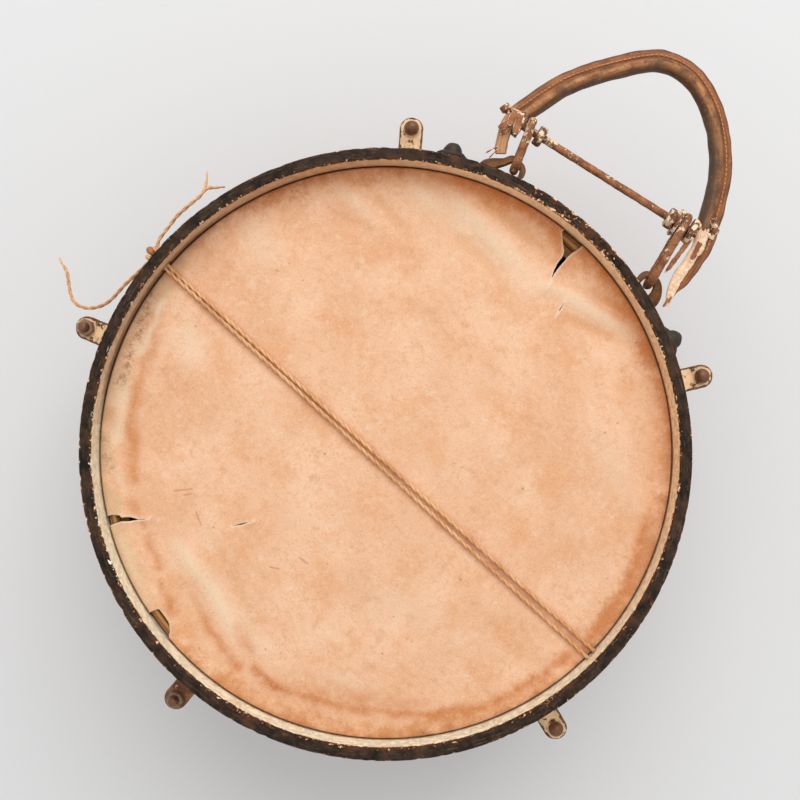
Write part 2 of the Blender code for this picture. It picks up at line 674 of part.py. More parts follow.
def build_anchor(axis, iron):
    """A headed button on the hoop, which the doubled gut goes round."""
    face = HOOP_OUTER_RADIUS + GUT_DIAMETER + ANCHOR_SLACK
    tip, dome, edge = ANCHOR_HEAD_RISES
    profile = [
        (0.0, face + tip),
        (ANCHOR_HEAD_RADIUS * ANCHOR_DOME, face + dome),
        (ANCHOR_HEAD_RADIUS, face + edge),
        (ANCHOR_HEAD_RADIUS, face),
        (ANCHOR_SHANK_RADIUS, face),
        (ANCHOR_SHANK_RADIUS, HOOP_OUTER_RADIUS - SCREW_REACH),
        (0.0, HOOP_OUTER_RADIUS - SCREW_REACH),
    ]
    set_on_radius(turned("snare_anchor_button", profile, iron, axis), anchor_azimuth(), anchor_height())


def snare_route():
    """The gut from the hook, across the head, round the anchor button and back to the hook."""
    gate = HOOP_OUTER_RADIUS
    run = GUT_DIAMETER / 2 + GUT_OFF_HOOP
    hook_reach = HOOK_SHANK_AT + HOOK_BEND_RADIUS
    hook_foot = RIM_TOP - HOOK_TOP_DEPTH - GUT_HOOK_REST
    start = Vector((*GUT_HOOK_END, GUT_HEIGHT))
    end = Vector((*GUT_ANCHOR_END, GUT_HEIGHT))
    across = (end - start).normalized()
    aside = Vector((across.y, -across.x, 0))
    strand = [
        (hook_reach, LOOP_OFFSET, hook_foot),
        (hook_reach, LOOP_OFFSET, hook_foot + GUT_RISE_AT_HOOK),
        (hook_reach - GUT_BEND_START[0], LOOP_OFFSET, GUT_HEIGHT - GUT_BEND_START[1]),
        (hook_reach - GUT_BEND_END[0], LOOP_OFFSET, GUT_HEIGHT - GUT_BEND_END[1]),
        (gate + GUT_BEFORE_GATE[0], LOOP_OFFSET - GUT_BEFORE_GATE[1], GUT_HEIGHT),
    ]
    out = [-across * (reach - HOOP_INNER_RADIUS) + start + Vector((0, 0, z - GUT_HEIGHT)) + aside * t
           for reach, t, z in strand]
    over = [start.lerp(end, i / STRAND_SPANS) + aside * STRAND_OFFSET for i in range(STRAND_SPANS + 1)]
    wall = gate - HOOP_INNER_RADIUS
    button = anchor_height() - GUT_HEIGHT
    bends = [
        (wall + GUT_BEHIND_GATE[0], STRAND_OFFSET, GUT_BEHIND_GATE[1]),
        (wall + run, STRAND_OFFSET + GUT_DOWN_BEND[0], GUT_DOWN_BEND[1]),
    ]
    down = [end + across * reach + aside * t - Vector((0, 0, drop)) for reach, t, drop in bends]
    turn_points = arc((0, button), LOOP_OFFSET, 0, -90, 4)
    down += [end + across * (wall + run) + aside * x + Vector((0, 0, z)) for x, z in turn_points]
    half = out + over + down
    mirror = Matrix.Identity(3)
    for row in range(3):
        for column in range(3):
            mirror[row][column] -= 2 * aside[row] * aside[column]
    back = [mirror @ (p - start) + start for p in reversed(half[:-1])]
    return half + back


def build_gut(axis, gut):
    route = smooth_route(snare_route(), 2)
    add_object("snare_gut", tube_curve("snare_gut", route, GUT_DIAMETER / 2, 2), gut, axis)
    for name, points in (("snare_gut_tail_a", TAIL_A_ROUTE), ("snare_gut_tail_b", TAIL_B_ROUTE)):
        placed = [Vector((x * MM, y * MM, RIM_TOP - depth * MM)) for x, y, depth in points]
        tail = smooth_route(placed, TAIL_POINTS_PER_SPAN)
        add_object(name, tube_curve(name, tail, GUT_DIAMETER / 2, 2), gut, axis)


def handle_point(across, out, height=0.0):
    """A point of the handle, from the middle of its hinge line."""
    return Vector((across, out - HINGE_OUT, height))


def build_handle(axis, iron, leather):
    """The handle's moving pieces, which swing on the line through the two leather loops."""
    hinge = add_empty("handle_hinge", (0, HINGE_OUT, HANDLE_Z), axis)
    ends = [handle_point(*end) for end in CROSS_ROD_ENDS]
    along = (ends[1] - ends[0]).normalized()
    lay_along = along.to_track_quat("Z", "Y").to_matrix().to_4x4()
    length = (ends[1] - ends[0]).length

    cross_rod_profile = [
        (0.0, length / 2),
        (CROSS_ROD_RADIUS, length / 2),
        (CROSS_ROD_RADIUS, -length / 2),
        (0.0, -length / 2),
    ]
    rod = turned("handle_rod", cross_rod_profile, iron, hinge)
    rod.location = (ends[0] + ends[1]) / 2
    rod.rotation_euler = lay_along.to_euler()

    bore = CROSS_ROD_RADIUS + RUNNING_GAP
    nut = nut_mesh("handle_rod_nut", CROSS_NUT_ACROSS_CORNERS, CROSS_NUT_HEIGHT, bore)
    for side, across in CROSS_ROD_NUTS.items():
        piece = add_object("handle_rod_nut_" + side, nut, iron, hinge)
        piece.location = ends[0] + along * ((across - ends[0].x) / along.x)
        piece.rotation_euler = lay_along.to_euler()

    for side, top in LINK_TOPS.items():
        foot = handle_point(EYE_ACROSS if side == "right" else -EYE_ACROSS, HINGE_OUT)
        head = handle_point(*top)
        lean = (head - foot).normalized()
        loop = arc((0, 0), LINK_EYE_RADIUS, 90, 270, LINK_ARC_STEPS)
        loop += arc(((head - foot).length, 0), LINK_EYE_RADIUS, -90, 90, LINK_ARC_STEPS)
        points = [foot + lean * x + Vector((0, 0, z)) for x, z in loop]
        curve = tube_curve("handle_link_" + side, points, LINK_WIRE_RADIUS, 2, cyclic=True)
        add_object("handle_link_" + side, curve, iron, hinge)

    route = smooth_route(
        [Vector((x * MM, y * MM - HINGE_OUT, 0, width)) for x, y, width in GRIP_ROUTE], GRIP_POINTS_PER_SPAN
    )
    widths = [point.w for point in route]
    curve = tube_curve("handle_grip", [point.to_3d() for point in route], GRIP_RADIUS, 4, widths=widths)
    grip = add_object("handle_grip", curve_to_mesh(curve), leather, hinge)
    bore_size = (bore, THROUGH_CUT)
    bores = []
    for end, shift in zip(ends, GRIP_BORE_SHIFTS):
        bores.append(("cylinder", bore_size, Matrix.Translation(end + along * shift) @ lay_along))
    combine(grip, cutter("grip_bores", bores, hinge), "DIFFERENCE")


def strap_outline(start, end, inner, outer, steps):
    """A strip that follows the hoop between two azimuths."""
    turns = [start + (end - start) * i / steps for i in range(steps + 1)]
    inside = [polar(inner, turn_at) for turn_at in turns]
    outside = [polar(outer, turn_at) for turn_at in reversed(turns)]
    return [(p.x, p.y) for p in inside + outside]


def build_leather_loops(axis, iron, leather):
    """Dark leather loops on the hoop, which hold the links, and the domed bolts that clamp their tails."""
    for side in ("right", "left"):
        mirror = 1 if side == "right" else -1
        strap = strap_outline(*LOOP_TAIL_AZIMUTHS, STRAP_FACE, STRAP_FACE + LOOP_LEATHER, 8)
        strap_mesh = curve_to_mesh(plate_curve("strap", [strap], LOOP_STRAP_HEIGHT))
        near = STRAP_FACE + LOOP_ROOT
        far = EYE_AT + LOOP_LEATHER / 2
        long_half = LOOP_HALF_LENGTH + LOOP_LEATHER
        outline = [(near, -long_half)]
        outline += arc((far - LOOP_CORNER, LOOP_CORNER - long_half), LOOP_CORNER, -90, 0, 3)
        outline += arc((far - LOOP_CORNER, long_half - LOOP_CORNER), LOOP_CORNER, 0, 90, 3)
        outline += [(near, long_half)]
        hole_near = STRAP_FACE + LOOP_LEATHER
        hole_far = EYE_AT - LOOP_LEATHER / 2
        hole = [
            (hole_near, -LOOP_HALF_LENGTH),
            (hole_far, -LOOP_HALF_LENGTH),
            (hole_far, LOOP_HALF_LENGTH),
            (hole_near, LOOP_HALF_LENGTH),
        ]
        facing = Matrix.Rotation(math.radians(EYE_AZIMUTH), 4, "Z")
        loop_mesh = curve_to_mesh(plate_curve("loop", [outline, hole], LOOP_EYE_HEIGHT))
        loop_mesh.transform(facing)
        for mesh in (strap_mesh, loop_mesh):
            if mirror < 0:
                mesh.transform(Matrix.Scale(-1, 4, (1, 0, 0)))
                mesh.flip_normals()
        loop = add_object("leather_loop_" + side, strap_mesh, leather, axis)
        loop.location = (0, 0, HANDLE_Z)
        eye = hidden("loop_eye_" + side, loop_mesh, axis)
        eye.location = loop.location
        combine(loop, eye, "UNION")
        azimuth = DOME_AZIMUTH if mirror > 0 else 180 - DOME_AZIMUTH
        hole_size = (DOME_SHANK_RADIUS + RUNNING_GAP, 2 * SCREW_HOLE_DEPTH)
        bolt_hole = ("cylinder", hole_size, radial_matrix(STRAP_FACE, azimuth, HANDLE_Z))
        combine(loop, cutter("loop_hole_" + side, [bolt_hole], axis), "DIFFERENCE")

        base_top = DOME_SEAT + DOME_BASE_HEIGHT
        dome_rise = DOME_TIP_AT - base_top
        profile = [(0.0, DOME_TIP_AT)]
        for angle in (65, 40, 15):
            reach = DOME_RADIUS * math.cos(math.radians(angle))
            profile.append((reach, base_top + dome_rise * math.sin(math.radians(angle))))
        profile += [
            (DOME_RADIUS, base_top),
            (DOME_BASE_RADIUS - DOME_BASE_CHAMFER, base_top),
            (DOME_BASE_RADIUS, DOME_SEAT),
            (DOME_SHANK_RADIUS, DOME_SEAT),
            (DOME_SHANK_RADIUS, HOOP_OUTER_RADIUS - SCREW_REACH),
            (0.0, HOOP_OUTER_RADIUS - SCREW_REACH),
        ]
        set_on_radius(turned("domed_bolt_" + side, profile, iron, axis), azimuth, HANDLE_Z)


def build_vent(axis, brass):
    seat = SHELL_RADIUS + GAP
    tube_end = SHELL_RADIUS - SHELL_WALL - VENT_TUBE_END
    profile = [
        (VENT_BORE_RADIUS, seat + VENT_FLANGE_HEIGHT),
        (VENT_FLANGE_RADIUS - VENT_FLANGE_CHAMFER, seat + VENT_FLANGE_HEIGHT),
        (VENT_FLANGE_RADIUS, seat),
        (VENT_TUBE_RADIUS, seat),
        (VENT_TUBE_RADIUS, tube_end),
        (VENT_BORE_RADIUS, tube_end),
    ]
    set_on_radius(turned("vent_grommet", profile, brass, axis, 16), VENT_AZIMUTH, 0)


def main():
    clear_scene()
    make_collection(PARTS)
    make_collection(CUTTERS)
    wood = {
        "shell": finish("shell_wood", (150, 98, 58), 0.5),
        "ring": finish("raw_wood", (178, 132, 88), 0.7),
    }
    skins = {
        "snare": finish("snare_calfskin", (232, 190, 150), 0.55),
        "batter": finish("batter_calfskin", (226, 184, 142), 0.55),
    }
    paint = finish("black_hoop_paint", (50, 42, 36), 0.45)
    cream = finish("cream_painted_iron", (250, 215, 175), 0.5, 0.1)
    rust = finish("rusty_iron", (140, 88, 58), 0.65, 0.6)
    iron = finish("dull_iron", (120, 98, 78), 0.5, 0.8)
    black_iron = finish("blackened_iron", (44, 40, 38), 0.4, 0.6)
    brass = finish("brass", (176, 136, 74), 0.35, 1.0)
    gut = finish("gut", (225, 170, 115), 0.4)
    grip_leather = finish("grip_leather", (140, 90, 50), 0.6)
    loop_leather = finish("dark_leather", (95, 60, 30), 0.6)

    axis = add_empty("drum_axis", (0, AXIS_Y, RIM_TOP))
    build_shell(axis, wood)
    for side in ("snare", "batter"):
        build_head(side, axis, skins, wood)
    build_hoops(axis, paint)
    build_ears(axis, cream)
    build_rods(axis, iron)
    build_strainer(axis, iron)
    build_anchor(axis, iron)
    build_gut(axis, gut)
    build_handle(axis, rust, grip_leather)
    build_leather_loops(axis, black_iron, loop_leather)
    build_vent(axis, brass)


main()
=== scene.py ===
"""Looks of the side drum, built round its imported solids.

Pieces are modelled from the middle of the drum axis, in metres, and carry procedural finishes: stained and
torn calfskin, chipped hoop paint, twisted gut, flaking iron and worn leather.
"""

import json
import math
import random

import bmesh
import bpy
import numpy as np
from mathutils import Matrix, Vector, noise
from mathutils.geometry import delaunay_2d_cdt

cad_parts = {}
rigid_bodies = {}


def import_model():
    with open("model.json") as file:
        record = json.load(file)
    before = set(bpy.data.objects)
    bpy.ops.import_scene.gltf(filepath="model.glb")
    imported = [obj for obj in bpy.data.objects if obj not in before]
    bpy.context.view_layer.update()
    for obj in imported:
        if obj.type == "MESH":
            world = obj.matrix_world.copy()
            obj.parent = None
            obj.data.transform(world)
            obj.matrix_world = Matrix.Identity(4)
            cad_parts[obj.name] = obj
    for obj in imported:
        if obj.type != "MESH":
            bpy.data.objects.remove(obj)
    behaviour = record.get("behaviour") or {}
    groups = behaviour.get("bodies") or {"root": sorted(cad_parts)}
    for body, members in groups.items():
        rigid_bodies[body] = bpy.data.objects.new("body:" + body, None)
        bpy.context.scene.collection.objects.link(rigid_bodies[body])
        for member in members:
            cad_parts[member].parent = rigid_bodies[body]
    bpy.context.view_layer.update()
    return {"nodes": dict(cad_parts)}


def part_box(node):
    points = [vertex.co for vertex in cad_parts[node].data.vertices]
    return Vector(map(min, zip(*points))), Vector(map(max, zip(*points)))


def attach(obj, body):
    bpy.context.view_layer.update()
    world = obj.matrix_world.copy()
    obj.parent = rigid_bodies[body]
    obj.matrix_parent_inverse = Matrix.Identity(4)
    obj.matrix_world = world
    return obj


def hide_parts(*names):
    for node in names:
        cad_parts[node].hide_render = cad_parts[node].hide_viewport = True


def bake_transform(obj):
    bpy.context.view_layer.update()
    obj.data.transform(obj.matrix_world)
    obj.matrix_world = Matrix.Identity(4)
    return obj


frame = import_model()

# Common values, with lengths in metres
MM = 0.001
GAP = 0.3 * MM
TIP_RADIUS = 0.02 * MM
RING_STEPS = 288
SHARP_ANGLE = math.radians(38)
SOLID_BEVEL = 0.4 * MM
BEVEL_ANGLE = math.radians(40)
SEED = 11
SHELL_LOW, SHELL_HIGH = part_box("shell")
CENTRE = (SHELL_LOW + SHELL_HIGH) / 2
FLIP = Matrix.Rotation(math.pi, 4, "X")


def top_of(node):
    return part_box(node)[1].z - CENTRE.z


def foot_of(node):
    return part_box(node)[0].z - CENTRE.z


def radius_of(node):
    low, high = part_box(node)
    return (high.x - low.x) / 2


# Sizes of the drum, most of them read from its solids; heights are from the middle of the drum axis
SHELL_RADIUS = radius_of("shell")
SHELL_TOP = top_of("shell")
SHELL_WALL = 5.0 * MM
HOOP_OUTER = radius_of("snare_counter_hoop")
HOOP_WALL = 7.5 * MM
HOOP_INNER = HOOP_OUTER - HOOP_WALL
RIM_TOP = top_of("snare_counter_hoop")
HOOP_FOOT = foot_of("snare_counter_hoop")
HEAD_TOP = top_of("snare_head")
HEAD_FOOT = foot_of("snare_head")
HEAD_EDGE = radius_of("snare_head")
LAP_OUTER = radius_of("snare_head_lap")
LAP_FOOT = foot_of("snare_head_lap")
CREST_RADIUS = SHELL_RADIUS + 0.2 * MM
SKIN_EDGE = HOOP_INNER - 0.4 * MM
SKIN = 0.6 * MM

# Camera of the photograph, from the drum axis and the rim
PHOTO_SIZE = 800
FOCAL_PIXELS = 1213.0
SENSOR_WIDTH = 36.0
CAMERA_ABOVE_RIM = 740.0 * MM
CAMERA_FOOT = Vector((-14.8 * MM, 30.9 * MM))
CAMERA_TURN = math.radians(40.5)
PHOTO_UP = 130.5

# Light and floor
KEY_DISTANCE = 2.6
KEY_ELEVATION = 49.0
KEY_SIZE = 2.4
KEY_TURN = -12.0
KEY_POWER = 37.0
FILL_STRENGTH = 0.72
BACKDROP = 0.81
FLOOR_SIZE = 40.0

# How uneven each kind of piece is: how far its points are pushed in and out, and over what size
EAR_UNEVEN = (0.25 * MM, 5 * MM)
ROD_UNEVEN = (0.12 * MM, 3 * MM)
NUT_UNEVEN = (0.2 * MM, 3 * MM)
HOOK_UNEVEN = (0.08 * MM, 2 * MM)
GRIP_UNEVEN = (0.45 * MM, 8 * MM)
STRIP_UNEVEN = (0.6 * MM, 2.6 * MM)
CROSS_ROD_UNEVEN = (0.22 * MM, 4 * MM)
CROSS_NUT_UNEVEN = (0.6 * MM, 2.6 * MM)
WASHER_UNEVEN = (0.8 * MM, 2.6 * MM)
EYELET_UNEVEN = (1.5 * MM, 3.0 * MM)
LINK_UNEVEN = (0.35 * MM, 4 * MM)
LOOP_UNEVEN = (0.2 * MM, 6 * MM)
DOME_UNEVEN = (0.5 * MM, 3.5 * MM)

# Hoops and shell
HOOP_ROUNDING = 1.4 * MM
HOOP_STEPS = 640
HOOP_FACE_LENGTH = 2.2 * MM
NICK_DEPTH = 1.3 * MM
NICK_REACH = 3.0 * MM
NICK_SIZE = 4.5 * MM
NICK_LEVEL = 0.12
BEND_DEPTH = 0.15 * MM
BEND_SIZE = 60.0 * MM
GATE_WIDTH = 9.0 * MM
GATE_HEIGHT = 4.6 * MM
GATE_LENGTH = 30 * MM
CREST_INSET = 2.8 * MM
CREST_SLOPE = 0.8 * MM
SHOULDER_INSET = 1.2 * MM
SHOULDER_DROP = 0.6 * MM
INNER_SLOPE_DROP = 3.5 * MM
OUTER_SLOPE_DROP = 2.6 * MM
SHELL_ROUNDING = 0.5 * MM
SHELL_FACE_LENGTH = 8 * MM
VENT_AZIMUTH = 222.0
VENT_HOLE = 6.0 * MM
VENT_CUT = 30 * MM
VENT_ROUNDING = 0.3 * MM
VENT_SIDES = 48
# Profile of the vent's grommet: radius and height, in millimetres
VENT_PROFILE = (
    (8.5, 0.0), (8.3, 0.9), (7.0, 1.4), (5.0, 1.2), (4.0, 0.6), (4.0, -6.2), (5.4, -6.2), (5.4, 0.0),
)

# Heads
ROLL_LENGTH = 4.3 * MM
ROLL_RINGS = 6
RIM_STEPS = 420
SKIN_SPACING = 2.3 * MM
HEX_ROW = 0.866
HEX_JITTER = 0.12
MERGE_DISTANCE = 1e-7
TEAR_SPACING = 1.1 * MM
TEAR_REACH = 8.0 * MM
TEAR_JITTER = 0.12 * MM
TEAR_STRETCH = 2.4
TORN_EDGE = 0.55 * MM
WAVE_RISE, WAVE_SIZE = 0.6 * MM, 50 * MM
RIPPLE_RISE, RIPPLE_SIZE = 0.16 * MM, 14 * MM
CURL_RISE, CURL_SIZE, CURL_REACH = 1.7 * MM, 9 * MM, 1.8 * MM
FLAT_EDGE, FLAT_FADE = 1.0 * MM, 8.0 * MM
STROKE_WAVER, STROKE_WAVER_SIZE = 3.0 * MM, 10 * MM
LAP_BELOW_HOOP = 1.2 * MM
LAP_ROUNDING = 1.0 * MM
PUCKER = 0.0012
PUCKER_SIZE = 9 * MM
# Tears in the snare head, as seen in the photograph, in its pixels
TEARS = {
    "upper": (
        (574, 219), (562, 232), (563.6, 250), (562.8, 256), (557.4, 263.6), (552.6, 273),
        (550.6, 282), (546.3, 289), (551.0, 282), (554.6, 273.6), (558.9, 267.6), (563.7, 262.2),
        (567.4, 257.6), (571, 254.4), (580, 248), (590, 240),
    ),
    "left": (
        (96, 514), (105, 516), (112, 515), (120, 515), (122, 517), (131, 517), (139, 519), (150, 518),
        (146, 519.5), (131, 521), (121, 522), (114, 524), (107, 527), (97, 529),
    ),
    "lower": (
        (140, 618), (148, 613), (155, 610), (159, 609), (165, 616), (169, 623), (170, 631), (169, 638),
        (158, 646),
    ),
    "slit_left": ((232, 526.4), (241, 523.7), (254, 520.8), (242, 524.5)),
    "slit_upper": ((565, 302), (559.6, 309), (555, 318), (560.4, 310.0)),
}
# Soft creases of the snare head: two ends in the photograph's pixels, half width and rise in millimetres
CREASES = (
    ((450, 194), (524, 268), 6.0, 1.5),
    ((332, 180), (392, 234), 8.0, 1.0),
    ((566, 294), (622, 328), 5.0, 1.6),
    ((520, 196), (556, 226), 5.0, 1.0),
    ((538, 284), (572, 296), 4.0, 1.0),
    ((400, 176), (456, 226), 6.0, 0.8),
    ((178, 540), (203, 586), 5.0, 0.9),
    ((207, 577), (232, 638), 5.0, 1.1),
    ((109, 457), (124, 488), 5.0, 0.9),
    ((112, 533), (140, 566), 5.0, 0.8),
    ((118, 330), (106, 420), 5.0, 0.9),
    ((600, 420), (640, 540), 12.0, 0.6),
    ((290, 664), (400, 696), 7.0, 0.6),
    ((330, 560), (470, 640), 14.0, 0.5),
    ((428, 206), (508, 282), 6.0, -0.8),
    ((474, 190), (546, 252), 6.0, -0.9),
    ((550, 310), (626, 342), 5.0, -0.9),
    ((362, 188), (416, 246), 7.0, -0.9),
    ((590, 290), (640, 322), 5.0, -1.0),
    ((188, 586), (214, 642), 4.0, -0.8),
    ((224, 556), (252, 622), 5.0, -0.5),
    ((130, 410), (136, 480), 5.0, -0.8),
    ((480, 620), (560, 676), 9.0, -0.5),
)
# Marks on the snare head: a line in the photograph's pixels, its half width in millimetres and its strength
STAIN_STROKES = (
    (((157, 316), (146, 362), (135, 396), (129, 425), (133, 478)), 4.0, 0.8),
    (((133, 502), (143, 524)), 3.2, 0.7),
    (((149, 537), (158, 566)), 3.2, 0.8),
    (((162, 584), (173, 612)), 3.2, 0.8),
    (((206, 622), (236, 668)), 3.4, 0.9),
    (((238, 629), (252, 652)), 3.0, 0.6),
    (
        ((256, 669), (284, 692), (330, 703), (393, 714), (450, 713), (491, 705), (540, 678), (568, 655)),
        3.2, 1.0,
    ),
    (((284, 690), (340, 700), (420, 708)), 7.0, 0.45),
    (((642, 526), (637, 560), (624, 593), (606, 618), (588, 638)), 3.2, 0.85),
    (((633, 316), (650, 356), (662, 400)), 7.0, 0.5),
    (((536, 210), (556, 230), (566, 262)), 6.0, 0.85),
    (((205, 249), (206, 250)), 6.0, 0.4),
    (((228, 265), (229, 266)), 6.0, 0.45),
    (((250, 196), (330, 178), (420, 172), (500, 190)), 7.0, 0.5),
    (((462, 179), (516, 200), (556, 226)), 7.0, 1.0),
    (((540, 218), (556, 236), (560, 256)), 6.0, 0.8),
    (((588, 244), (620, 292), (646, 350)), 6.0, 0.8),
    (((578, 250), (596, 262)), 6.0, 0.6),
    (((330, 206), (372, 228), (418, 258)), 6.0, 0.3),
    (((590, 300), (622, 316)), 5.0, 0.3),
    (((172, 372), (173, 384)), 7.0, 0.45),
    (((153, 322), (155, 338)), 4.0, 0.8),
    (((114, 412), (117, 424)), 4.0, 0.7),
)
BLOOM_STROKES = (
    (((164, 303), (152, 328), (139, 353)), 2.6, 0.9),
    (((124, 390), (116, 440)), 4.0, 0.7),
    (((186, 336), (196, 356)), 9.0, 0.45),
    (((254, 240), (262, 252)), 9.0, 0.4),
    (((120, 540), (146, 600)), 4.0, 0.5),
    (((176, 545), (262, 648)), 6.0, 0.4),
    (((430, 200), (530, 286)), 9.0, 0.35),
    (((574, 300), (632, 334)), 5.0, 0.4),
)
# Darker brown strokes on the snare head, most of them along its edge at the left, by the hoop's wall
DARK_STROKES = (
    (((152, 296), (141, 322), (133, 346), (120, 384)), 3.0, 1.0),
    (((300, 186), (296, 196)), 3.0, 0.9),
    (((104, 440), (110, 470)), 3.5, 0.6),
    (((258, 672), (284, 694)), 2.4, 0.5),
)
# Scratches: two ends in the photograph's pixels
SCRATCHES = (
    ((196, 512), (201, 525)), ((174, 491), (192, 489)), ((184, 495), (191, 494)),
    ((270, 567), (279, 569)), ((300, 558), (308, 564)), ((276, 270), (278, 271)),
    ((289, 263), (289.5, 263.5)), ((199, 648), (200, 650)),
)
# Stains from the rim, and on the snare head at azimuths 86, 90 and 150 also painted shade of the hoop's rim:
# azimuth and spread in degrees, inner radius and softness in metres, strength, colour
SNARE_STAINS_AND_RIM_SHADE = (
    (90, 34, 0.160, 0.016, 0.5, (222, 146, 82)),
    (86, 24, 0.171, 0.010, 0.3, (188, 112, 54)),
    (30, 28, 0.160, 0.012, 0.35, (228, 156, 104)),
    (12, 19, 0.1635, 0.006, 0.6, (196, 132, 84)),
    (56, 24, 0.168, 0.010, 0.5, (200, 130, 78)),
    (150, 44, 0.168, 0.010, 0.55, (196, 126, 76)),
    (300, 56, 0.1662, 0.010, 0.6, (206, 136, 82)),
    (214, 50, 0.165, 0.010, 0.75, (216, 186, 148)),
)
BATTER_STAINS = (
    (90, 60, 0.162, 0.014, 0.7, (200, 132, 82)),
    (260, 50, 0.164, 0.010, 0.7, (186, 118, 70)),
)

# Ears, rods, nuts and screws
EAR_AZIMUTHS = (54, 126, 198, 270, 342)
RODS_WITH_NUT_ABOVE = (198, 270)
RUSTY_EARS = ("snare_ear_4", "batter_ear_2")
ROD_CIRCLE = 207.0 * MM
EAR_WIDTH = 15.0 * MM
EAR_THICKNESS = 2.4 * MM
EAR_LEG_HEIGHT = 22.0 * MM
EAR_BEND = 3.0 * MM
EAR_TAB = 2.5 * MM
EAR_CORNER = 3.0 * MM
EAR_SOFT_EDGE = 0.5 * MM
EAR_RUB = 1.8 * MM
EAR_SCREW_RISE = 14.5 * MM
EAR_TIP_INSET = 0.05 * MM
EAR_STEP = 0.6 * MM
EAR_CUT = 20 * MM
ROD_RADIUS = 3.0 * MM
ROD_HOLE = 3.45 * MM
ROD_END_REACH = 12.8 * MM
ROD_SIDES = 24
BALL_RADIUS = 4.75 * MM
THREAD_DEPTH = 0.45 * MM
THREAD_PITCH = 1.4 * MM
THREAD_LENGTH = 34.0 * MM
THREAD_RINGS = 6
THREAD_SHARP = math.radians(60)
NUT_CORNERS = 11.5 * MM
NUT_HEIGHT = 6.0 * MM
NUT_CHAMFER = 0.9 * MM
NUT_SIDES = 48
# Screws: radius and height of the head, radius and reach of the shank
EAR_SCREW = (3.0 * MM, 1.7 * MM, 1.4 * MM, 5 * MM)
BRACKET_SCREW = (3.2 * MM, 1.7 * MM, 1.5 * MM, 6 * MM)
SCREW_SIDES = 24

# Gut snare, its hook and its anchor
GUT_RADIUS = 1.25 * MM
GUT_LAY = 12.0 * MM
GUT_SIDES = 14
GUT_STEP = 0.8 * MM
GUT_HOOK_END = (-180.0 * MM, -0.7 * MM)
GUT_ANCHOR_END = (180.0 * MM, -12.5 * MM)
GUT_HEIGHT = HEAD_TOP + GAP + GUT_RADIUS
GUT_OFF_HOOP = 0.55 * MM
GUT_ON_HOOK = 2.5 * MM
GUT_RISE_AT_HOOK = 6 * MM
STRAND_OFFSETS = (1.3 * MM, 2.9 * MM)
STRAND_SPANS = 8
LOOP_OFFSET = 3.6 * MM
STRAINER_AZIMUTH = 180.0
HOOK_RADIUS = 2.0 * MM
HOOK_SHANK_AT = 191.0 * MM
HOOK_BEND = 3.5 * MM
HOOK_TOP_DEPTH = 31.5 * MM
HOOK_END_DEPTH = 112.0 * MM
HOOK_TIP = 3.0 * MM
HOOK_THREAD = 40.0 * MM
HOOK_BALL = 2.6 * MM
HOOK_SIDES = 20
HOOK_BALL_SIDES = 24
HOOK_STEP = 0.8 * MM
THUMB_BORE = 2.3 * MM
THUMB_ROUNDING = 0.9 * MM
KNURL_DEPTH = 0.35 * MM
KNURL_COUNT = 30
KNURL_SIDES = 120
ANCHOR_DEPTH = 30.0 * MM
ANCHOR_HEAD = 4.5 * MM
ANCHOR_RISE = 2.2 * MM
ANCHOR_CLEARANCE = 1.2 * MM
# Shank of the anchor button: radius and reach
ANCHOR_SHANK = (2.0 * MM, 4.0 * MM)
# Cap of the anchor button: share of its radius, and height in millimetres
ANCHOR_CAP = ((0.5, 2.1), (0.78, 1.75), (0.95, 1.1), (1.0, 0.6), (0.97, 0.1))
TAIL_TAPER = 5 * MM
FRAY_COUNT = 5
# The split strand of a tail: radius, lay and taper
SPLIT_GUT = (1.3 * MM, 9 * MM, 9 * MM)
# Free tails of the gut, from the drum axis and below the snare rim (across, along, depth), in millimetres
TAIL_A_ROUTE = (
    (-194.4, 3.4, 34.5), (-194.7, 3.6, 36.3), (-196.9, 4.8, 38.1), (-199.2, 8.4, 39.0),
    (-199.9, 14.6, 39.2), (-200.3, 22.0, 39.6), (-200.7, 28.2, 40.4), (-200.0, 35.8, 41.6),
    (-199.5, 41.8, 43.2), (-198.9, 47.2, 44.6), (-199.9, 52.8, 46.2), (-203.8, 59.2, 48.2),
)
TAIL_B_ROUTE = (
    (-194.6, -3.8, 34.5), (-194.7, -4.1, 36.3), (-195.1, -7.2, 38.6), (-195.9, -14.0, 40.0),
    (-197.0, -21.0, 41.4), (-198.2, -28.2, 43.0), (-198.7, -33.5, 44.6), (-199.5, -40.6, 46.8),
    (-201.6, -47.2, 49.2), (-206.2, -53.4, 52.2), (-211.8, -57.6, 55.2), (-218.1, -59.4, 58.0),
    (-223.6, -58.2, 60.6), (-229.3, -54.9, 63.0), (-234.4, -51.1, 65.2), (-239.3, -48.0, 67.4),
    (-246.3, -46.0, 70.4),
)
TAIL_A_SPLIT = ((-199.6, 51.2, 45.8), (-198.6, 55.0, 47.0), (-196.4, 57.2, 47.8), (-191.5, 62.4, 49.4))

# Leather handle and its rod
HANDLE_Z = RIM_TOP - 25.0 * MM
HINGE_OUT = 192.5 * MM
EYE_ACROSS = 56.0 * MM
GRIP_RADIUS = 6.65 * MM
GRIP_INNER = 1.18
GRIP_VALLEY = 0.2
# Half thickness of the grip's roll, sewn edge and flat ends, as shares of its radius
GRIP_ROLL, GRIP_SEWN, GRIP_FLAT = 0.84, 0.32, 0.4
STRAP_LIFT = 4.4 * MM
